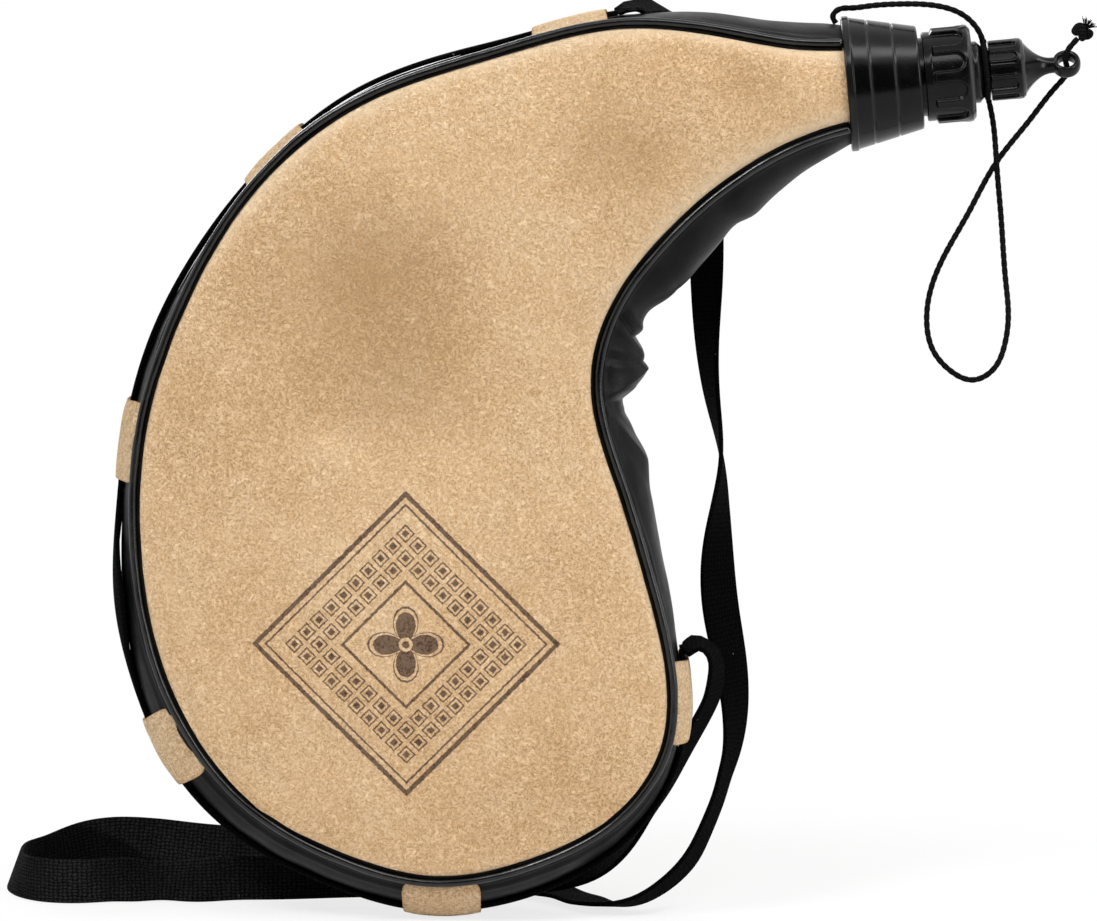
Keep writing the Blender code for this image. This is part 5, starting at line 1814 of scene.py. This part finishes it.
def turned_profile(corners: Sequence[tuple[float, ...]], spacing: Callable[[float, float], float], arc: int = 5) -> np.ndarray:
    """A closed profile of places and radii whose corners are short arcs, cut into even steps.

    Args:
        corners: radius, place and, where wanted, the rounding of each corner.
        spacing: the length of a step at a radius and a place.
        arc: points in each arc.

    Returns:
        Rows of place and radius.
    """
    spots = [np.array(corner[:2], float) for corner in corners]
    pieces: list[np.ndarray] = []
    for i, corner in enumerate(corners):
        here, before, after = spots[i], spots[i - 1], spots[(i + 1) % len(spots)]
        size = corner[2] if len(corner) > 2 else 0.00012
        back, ahead = unit(before - here), unit(after - here)
        half = math.acos(float(np.clip(back @ ahead, -1.0, 1.0))) / 2.0
        if half > 1.54 or size == 0.0:
            pieces.append(here[None])
            continue
        middle = here + unit(back + ahead) * size / math.sin(half)
        first = unit(here + back * size / math.tan(half) - middle)
        last = unit(here + ahead * size / math.tan(half) - middle)
        share = np.linspace(0.0, 1.0, arc)[:, None]
        pieces.append(middle + unit(first * (1.0 - share) + last * share) * size)
    rows: list[np.ndarray] = []
    for i, piece in enumerate(pieces):
        following = pieces[(i + 1) % len(pieces)][0]
        rows.append(piece)
        reach = float(np.linalg.norm(following - piece[-1]))
        middle = (following + piece[-1]) / 2.0
        count = int(reach / spacing(float(middle[0]), float(middle[1])))
        if count > 0:
            share = np.linspace(0.0, 1.0, count + 2)[1:-1, None]
            share = 0.7 * share + 0.3 * (0.5 - 0.5 * np.cos(math.pi * share))
            rows.append(piece[-1] + (following - piece[-1]) * share)
    return np.vstack(rows)[:, ::-1]


@dataclass(frozen=True)
class Flutes:
    """Stadium-shaped flutes round an axis: open at their start and round at their end."""

    count: int
    width: float
    start: float
    end: float
    floor: float
    lip: float

    def cut(self, along: np.ndarray, radius: np.ndarray, angle: np.ndarray) -> np.ndarray:
        """The radius with the flutes cut in: a smooth step at the stadium's outline, and a raised border.

        Args:
            along: places along the axis.
            radius: the plain radius.
            angle: turns round the axis.

        Returns:
            The new radius.
        """
        pitch = 2.0 * math.pi / self.count
        turn = (angle + pitch / 2.0) % pitch - pitch / 2.0
        across = np.abs(turn) * radius
        half = self.width / 2.0
        beyond = along - (self.end - half)
        inside = np.where(beyond > 0.0, np.hypot(across, beyond), across) - half
        inside = np.where(along < self.start, np.maximum(inside, (self.start - along)), inside)
        depth = np.maximum(radius - self.floor, 0.0)
        share = 1.0 - ease((inside + 0.0003) / 0.00055)
        border = self.lip * bell(inside - 0.00055, 0.00035) * (along > self.start)
        hollow = 0.0001 * bell(across, half) * share
        outer = depth > 0.0
        return radius - depth * share + (border - hollow) * outer


@dataclass
class Nozzle:
    """Collar, neck tube, filler cap and stopper, all turned on the neck's axis."""

    neck: Neck
    collar_length: float = 0.0246
    collar_wide: float = 0.0224
    collar_narrow: float = 0.017
    cap_start: float = 0.026
    cap_front: float = 0.042
    groove_start: float = 0.0452
    groove_end: float = 0.0474
    spigot_end: float = 0.0545
    stopper_start: float = 0.0477
    grip_end: float = 0.0587
    flare_end: float = 0.0681
    eye_place: float = 0.073
    eye_radius: float = 0.00475
    hole_radius: float = 0.0027

    def spin(self, name: str, profile: np.ndarray, steps: int, shape: Callable[..., np.ndarray] | None = None) -> Surface:
        """A surface of a closed profile turned round the axis.

        Args:
            name: the object's name.
            profile: rows of place and radius.
            steps: points round the axis.
            shape: changes the radius by place and turn.

        Returns:
            The surface.
        """
        angle = turns(steps)[None]
        along, radius, angle = np.broadcast_arrays(profile[:, :1], profile[:, 1:], angle)
        size = shape(along, radius, angle) if shape else radius
        return Surface(name, self.neck.turned(along, size, angle), loops_along=True, loops_round=True, merge=True)

    def build(self, finishes: Finishes) -> None:
        """Makes every hard piece that shows."""
        self.build_collar(finishes)
        self.build_neck(finishes)
        self.build_cap(finishes)
        self.build_stopper(finishes)

    def build_collar(self, finishes: Finishes) -> None:
        """The cone on the neck, with its lip and two fine grooves."""
        taper = (self.collar_wide - self.collar_narrow) / self.collar_length

        def outside(place: float) -> float:
            """The cone's outer radius."""
            return self.collar_wide - taper * place

        grooves: list[tuple[float, ...]] = []
        for place in (self.collar_length * 2.0 / 3.0, self.collar_length / 3.0):
            grooves += [
                (outside(place + 0.0005), place + 0.0005, 0.0002),
                (outside(place) - 0.00035, place, 0.0003),
                (outside(place - 0.0005), place - 0.0005, 0.0002),
            ]
        lip = outside(0.0023) + 0.0005
        bore, inner = 0.0133, self.collar_length - 0.002
        corners = [
            (bore, self.collar_length, 0.0004),
            (self.collar_narrow, self.collar_length, 0.0009),
            *grooves,
            (outside(0.0026), 0.0026, 0.0004),
            (lip, 0.0023, 0.0005),
            (lip, 0.0, 0.0006),
            (outside(0.0) - 0.0015, 0.0, 0.0002),
            (outside(inner) - 0.0015, inner),
            (bore, inner),
        ]
        profile = turned_profile(corners, lambda radius, place: 0.0006)
        surface = self.spin("nozzle_collar", profile, 200)
        along = np.broadcast_to(profile[:, :1], surface.grid.shape[:2])
        edge = bell(along - 0.0012, 0.0009) * 0.25 + 0.3 * bell(along - self.collar_length, 0.0006)
        for place in (self.collar_length * 2.0 / 3.0, self.collar_length / 3.0):
            edge = edge + 0.45 * bell(along - place, 0.0005)
        surface.attributes["wear_and_painted_light"] = edge
        dress(surface.build(), finishes["collar_plastic"], "black_plastic", "bag", "collar")

    def build_neck(self, finishes: Finishes) -> None:
        """The filling neck, with a flange and a barb inside and a round thread outside."""
        corners = [
            (0.0105, 0.0375, 0.0004),
            (0.013, 0.0375, 0.0005),
            (0.013, 0.0223),
            (0.0153, 0.0223),
            (0.0153, 0.0203),
            (0.013, 0.0203),
            (0.013, 0.011),
            (0.0134, 0.011),
            (0.0134, -0.014),
            (0.0105, -0.014),
        ]
        profile = turned_profile(corners, lambda radius, place: 0.00035 if place > 0.024 and radius > 0.0125 else 0.0012)

        def thread(along: np.ndarray, radius: np.ndarray, angle: np.ndarray) -> np.ndarray:
            """A ridge that climbs 4 mm a turn over the neck's outer side."""
            wave = np.cos(2.0 * math.pi * along / 0.004 - angle)
            place = ease((along - 0.0262) / 0.0008) * ease((0.0366 - along) / 0.0008) * (radius > 0.0128)
            return radius + 0.0003 * ease((wave - 0.2) / 0.7) * place

        dress(self.spin("filling_neck", profile, 160, thread).build(), finishes["cap_plastic"], "black_plastic", "bag", "neck_tube")

    def build_cap(self, finishes: Finishes) -> None:
        """The filler cap: skirt, fluted lands, bevelled rim, boss, cord groove and spigot."""
        start, front = self.cap_start, self.cap_front
        corners = [
            (0.0033, self.spigot_end, 0.0003),
            (0.007, self.spigot_end, 0.0005),
            (0.007, self.groove_end, 0.0002),
            (0.0076, self.groove_end, 0.0002),
            (0.0076, self.groove_start, 0.0003),
            (0.0086, self.groove_start, 0.0003),
            (0.0102, self.groove_start - 0.0014, 0.0006),
            (0.0102, front, 0.0005),
            (0.0148, front, 0.0004),
            (0.016, front - 0.0011, 0.0006),
            (0.016, start + 0.0034, 0.0005),
            (0.01475, start + 0.0028, 0.0004),
            (0.01475, start, 0.0005),
            (0.0134, start, 0.0003),
            (0.0134, front - 0.0024),
            (0.0033, front - 0.0024, 0.0003),
        ]
        profile = turned_profile(corners, lambda radius, place: 0.00026 if radius > 0.0153 else 0.0007)
        flutes = Flutes(10, 0.0066, start + 0.0017, front - 0.0026, 0.01475, 0.00012)

        def shape(along: np.ndarray, radius: np.ndarray, angle: np.ndarray) -> np.ndarray:
            """The flutes, and the spigot's thread of 3 mm a turn."""
            wave = np.cos(2.0 * math.pi * along / 0.003 - angle)
            spigot = ease((along - 0.0478) / 0.0005) * ease((0.0541 - along) / 0.0005) * (np.abs(radius - 0.007) < 0.0002)
            return flutes.cut(along, radius, angle) + 0.00028 * ease((wave - 0.2) / 0.7) * spigot

        surface = self.spin("fluted_cap", profile, 440, shape)
        along, radius = (np.broadcast_to(profile[:, i : i + 1], surface.grid.shape[:2]) for i in (0, 1))
        rim = bell(along - (front - 0.0006), 0.0007) * bell(radius - 0.0156, 0.0009)
        surface.attributes["wear_and_painted_light"] = 0.55 * rim + 0.2 * bell(radius - 0.0102, 0.0004) * bell(along - 0.0437, 0.0008)
        dress(surface.build(), finishes["cap_plastic"], "black_plastic", "filler_cap", "filler_cap")

    def build_stopper(self, finishes: Finishes) -> None:
        """The stopper: fluted grip, plain rim, concave flare, stem and eye."""
        start, grip, flare = self.stopper_start, self.grip_end, self.flare_end
        shares = np.linspace(1.0, 0.0, 22)
        stem, wide = 0.0026, 0.0086
        curve = [(stem + (wide - stem) * (1.0 - s) ** 2, grip + 0.0004 + s * (flare - grip - 0.0004), 0.0) for s in shares[1:]]
        inner = self.spigot_end + 0.0021
        corners = [
            (0.0, self.eye_place - 0.0034, 0.0),
            (stem, self.eye_place - 0.0034, 0.0006),
            (stem, flare, 0.0),
            *curve,
            (0.0092, grip + 0.0003, 0.0002),
            (0.01, grip - 0.0006, 0.0004),
            (0.01, start, 0.0005),
            (0.0074, start, 0.0003),
            (0.0074, inner),
            (0.0034, inner),
            (0.0034, inner + 0.0021),
            (0.0, inner + 0.0021, 0.0),
        ]
        profile = turned_profile(corners, lambda radius, place: 0.00022 if radius > 0.0093 else 0.0007)
        flutes = Flutes(12, 0.003, start - 0.002, start + 0.0088, 0.0092, 0.00008)
        surface = self.spin("fluted_stopper", profile, 432, flutes.cut)
        along, radius = (np.broadcast_to(profile[:, i : i + 1], surface.grid.shape[:2]) for i in (0, 1))
        surface.attributes["wear_and_painted_light"] = 0.5 * bell(along - grip, 0.0007) * (radius > 0.0085)
        body = surface.build()
        eye = self.build_eye()
        made = joined("corded_stopper", [body, eye])
        dress(made, finishes["cap_plastic"], "black_plastic", "stopper", "stopper")

    def build_eye(self) -> bpy.types.Object:
        """The eye: a rounded ring whose hole faces upwards and to the front.

        Its section is a superellipse between the hole and the eye's outer radius.
        """
        middle = self.neck.point(self.eye_place, 0.0)
        hole = (self.neck.up - self.neck.back) * math.cos(math.radians(45))
        first = self.neck.axis
        second = np.cross(hole, first)
        t = turns(32)[None]
        turn = turns(96)[:, None]
        half = (self.eye_radius - self.hole_radius) / 2.0
        out = (self.eye_radius + self.hole_radius) / 2.0 + half * np.sign(np.cos(t)) * np.abs(np.cos(t)) ** 0.8
        rise = 0.0023 * np.sign(np.sin(t)) * np.abs(np.sin(t)) ** 0.8 + 0.0 * turn
        spoke = np.cos(turn)[..., None] * first + np.sin(turn)[..., None] * second
        grid = middle + out[..., None] * spoke + rise[..., None] * hole
        return Surface("eye_ring", grid, loops_along=True, loops_round=True).build()


@dataclass
class Inside:
    """What the bag hides: the liner, and finishes for the pieces that stay as the model has them."""

    faces: SuedeFaces
    nodes: dict[str, bpy.types.Object]
    clearance: float = 0.0052
    wall: float = 0.0008
    throat: float = 0.0145

    def build(self, finishes: Finishes) -> None:
        """Makes the liner and dresses the plain inner pieces."""
        self.build_liner(finishes)
        kept = {
            "clamp_ring": finishes["clamp_steel"],
            "cap_gasket": finishes["gasket_rubber"],
            "stopper_gasket": finishes["gasket_rubber"],
            "pouring_jet": finishes["jet_plastic"],
        }
        for node, finish in kept.items():
            for place in self.nodes[node].material_slots:
                place.material = finish

    def build_liner(self, finishes: Finishes) -> None:
        """The bladder: oval sections between the seams, round at the throat and closed at the bottom."""
        neck, seam = self.faces.seam.neck, self.faces.seam
        down = np.maximum(np.linspace(0.095, 1.0, 89) ** 0.9 * 0.93, 0.095)
        v = np.concatenate([[0.0, 0.0], down])
        outer, inner, _ = self.faces.margins(v, np.full(len(v), 0.5))
        middle, chord = (outer + inner) / 2.0, inner - outer
        thick = seam.half_depth(middle) + self.faces.dome(np.full(len(v), 0.5), v) - self.clearance
        wide = np.linalg.norm(chord, axis=1) / 2.0 - 0.003
        chord = unit(chord)
        blend = ease(v / 0.12 * (np.arange(len(v)) > 1))
        closing = np.sqrt(np.clip(1.0 - (v / 0.95) ** 6, 0.0, 1.0))
        wide = (self.throat * (1.0 - blend) + wide * blend) * closing
        thick = (self.throat * (1.0 - blend) + thick * blend) * closing
        for row, along in enumerate((seam.grip, -0.0148)):
            middle[row] = neck.point(along, 0.0)[[0, 2]]
            chord[row] = -neck.up[[0, 2]]
            wide[row] = thick[row] = self.throat
        angle = turns(64)
        power = 1.0 - 0.18 * blend[:, None]
        across = np.sign(np.cos(angle)) * np.abs(np.cos(angle)) ** power
        deep = np.sign(np.sin(angle)) * np.abs(np.sin(angle)) ** power
        spot = middle[:, None] + chord[:, None] * (wide[:, None] * across)[..., None]
        grid = np.stack([spot[..., 0], thick[:, None] * deep, spot[..., 1]], axis=-1)
        tip = np.broadcast_to(grid[-1].mean(axis=0), grid[:1].shape)
        made = Surface("liner", np.concatenate([grid, tip]), loops_round=True, merge=True).build()
        add_wall(made, self.wall)
        dress(made, finishes["bladder_latex"], "bladder_latex", "bag", "bladder")


# The studio.


@dataclass
class Studio:
    """The camera at the photograph's angle, the pale floor and the soft lamps."""

    target: Point = (-0.015, 0.0, 0.1535)
    azimuth: float = math.radians(1.7)
    elevation: float = math.radians(5.5)
    distance: float = 2.1
    frame_width: float = 0.3655
    aim: Point = (-0.01, 0.0, 0.14)
    dim_surround: float = 0.18
    floor_half: float = 9.0
    flag_half: float = 2.4

    def build(self) -> None:
        """Makes camera, world, lamps and floor."""
        self.add_camera()
        self.add_world()
        self.add_lamp("key", (-0.85, -1.0, 1.4), (0.5, 0.5), 20.0)
        self.add_lamp("side", (1.3, -1.05, 0.62), (0.4, 1.2), 11.0)
        self.add_lamp("strip", (0.55, -0.42, 1.3), (1.9, 0.3), 12.5)
        self.add_lamp("rear", (-0.7, 1.7, 0.9), (0.9, 0.9), 15.0)
        self.add_flag()
        self.add_floor()
        view = bpy.context.scene.view_settings
        view.view_transform = "Standard"

    def add_camera(self) -> None:
        """The camera, aimed at the middle of the photograph's frame."""
        data = bpy.data.cameras.new("camera")
        data.sensor_fit = "HORIZONTAL"
        data.sensor_width = 36.0
        data.lens = data.sensor_width / 2.0 / (self.frame_width / 2.0 / self.distance)
        data.clip_start = 0.01
        level = math.cos(self.elevation)
        away = Vector((math.sin(self.azimuth) * level, -math.cos(self.azimuth) * level, math.sin(self.elevation)))
        camera = add_object("camera", data)
        camera.location = Vector(self.target) + away * self.distance
        camera.rotation_euler = (-away).to_track_quat("-Z", "Y").to_euler()
        bpy.context.scene.camera = camera

    @staticmethod
    def looked_at(graph: Graph) -> Socket:
        """One for the rays of the camera, of gloss and through glass."""
        rays = graph.node("ShaderNodeLightPath").outputs
        return graph.larger(graph.larger(rays["Is Camera Ray"], rays["Is Glossy Ray"]), rays["Is Transmission Ray"])

    def add_world(self) -> None:
        """A white surround, at full strength only for the camera, for gloss and through glass."""
        world = bpy.data.worlds.new("surround")
        world.use_nodes = True
        graph = Graph(world.node_tree)
        strength = graph.times_plus(self.looked_at(graph), 1.0 - self.dim_surround, self.dim_surround)
        graph.fill(world.node_tree.nodes["Background"], {"Color": (1.0, 1.0, 1.0, 1.0), "Strength": strength})
        bpy.context.scene.world = world

    def add_lamp(self, name: str, place: Point, size: tuple[float, float], power: float) -> None:
        """An oblong area lamp aimed at the bag.

        Args:
            name: its name.
            place: where it stands.
            size: its width and its height.
            power: its power in watts.
        """
        data = bpy.data.lights.new(name, "AREA")
        data.shape = "RECTANGLE"
        data.size, data.size_y = size
        data.energy = power
        lamp = add_object(name, data)
        lamp.location = place
        lamp.rotation_euler = (Vector(self.aim) - Vector(place)).to_track_quat("-Z", "Y").to_euler()

    @staticmethod
    def add_backdrop(name: str, corners: list[Point], faces: list[Sequence[int]], finish: bpy.types.Material) -> None:
        """A piece of the studio that belongs to the stage, and not to the bag.

        Args:
            name: its name.
            corners: its corners.
            faces: corner numbers of each face.
            finish: its material.
        """
        mesh = bpy.data.meshes.new(name)
        mesh.from_pydata(corners, [], faces)
        mesh.materials.append(finish)
        add_object(name, mesh)

    @staticmethod
    def put_out(g: Graph, share: Socket, shader: bpy.types.Node, other: bpy.types.Node) -> None:
        """Sends a mix of two shaders to the material's output.

        Args:
            g: the material's graph.
            share: 0 for the first shader, 1 for the other.
            shader: the first shader.
            other: the other shader.
        """
        both = g.node("ShaderNodeMixShader", {0: share, 1: shader.outputs[0], 2: other.outputs[0]})
        output = next(node for node in g.tree.nodes if node.type == "OUTPUT_MATERIAL")
        g.put(output.inputs["Surface"], both.outputs[0])

    def add_flag(self) -> None:
        """A black card on the floor before the bag and upright behind the camera, clear to the camera.

        Gloss mirrors it, so that the shiny black pieces keep a dark middle.
        """
        profile = ((-0.8, 0.01), (-2.6, 0.01), (-2.6, 2.4))
        corners = [(side, y, z) for y, z in profile for side in (-self.flag_half, self.flag_half)]
        made, g, shader = start_material("flag_black")
        g.fill(shader, {"Base Color": (0.004, 0.004, 0.004, 1.0), "Roughness": 1.0, "Specular IOR Level": 0.0})
        seen = g.node("ShaderNodeLightPath").outputs["Is Camera Ray"]
        self.put_out(g, seen, shader, g.node("ShaderNodeBsdfTransparent"))
        self.add_backdrop("flag", corners, [(0, 1, 3, 2), (2, 3, 5, 4)], made)

    def add_floor(self) -> None:
        """A wide floor that is white to the camera away from the bag and keeps its shadow near it."""
        far = self.floor_half
        made, g, shader = start_material("floor_white")
        g.fill(shader, {"Base Color": (0.9, 0.9, 0.9, 1.0), "Roughness": 0.8, "Specular IOR Level": 0.1})
        x, y, _ = g.split(g.place())
        away = g.math("SQRT", g.times_plus(x, x, g.times(y, y)))
        white = g.ramp(away, 0.12, 0.28, 0.78, 1.0)
        glow = g.node("ShaderNodeEmission", {"Color": (1.0, 1.0, 1.0, 1.0), "Strength": 1.0})
        self.put_out(g, g.times(self.looked_at(g), white), shader, glow)
        corners = [(-far, -far, 0.0), (far, -far, 0.0), (far, far, 0.0), (-far, far, 0.0)]
        self.add_backdrop("floor", corners, [(0, 1, 2, 3)], made)


def main() -> None:
    """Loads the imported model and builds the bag's pieces in order, camera and cords first."""
    logging.basicConfig(level=logging.INFO, format="%(name)s: %(message)s")
    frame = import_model()
    Studio().build()
    finishes = Finishes(Effects())
    neck = Neck()
    seam = Seam(neck)
    webbing = StrapWebbing(seam)
    webbing.build_free(finishes)
    KeeperCord(neck).build(finishes)
    faces = SuedeFaces(seam)
    faces.build(finishes)
    Gusset(seam).build(finishes)
    Piping(seam).build(finishes)
    webbing.build_held(finishes)
    StrapLoops(seam).build(finishes)
    Nozzle(neck).build(finishes)
    Inside(faces, frame["nodes"]).build(finishes)


if __name__ == "__main__":
    main()
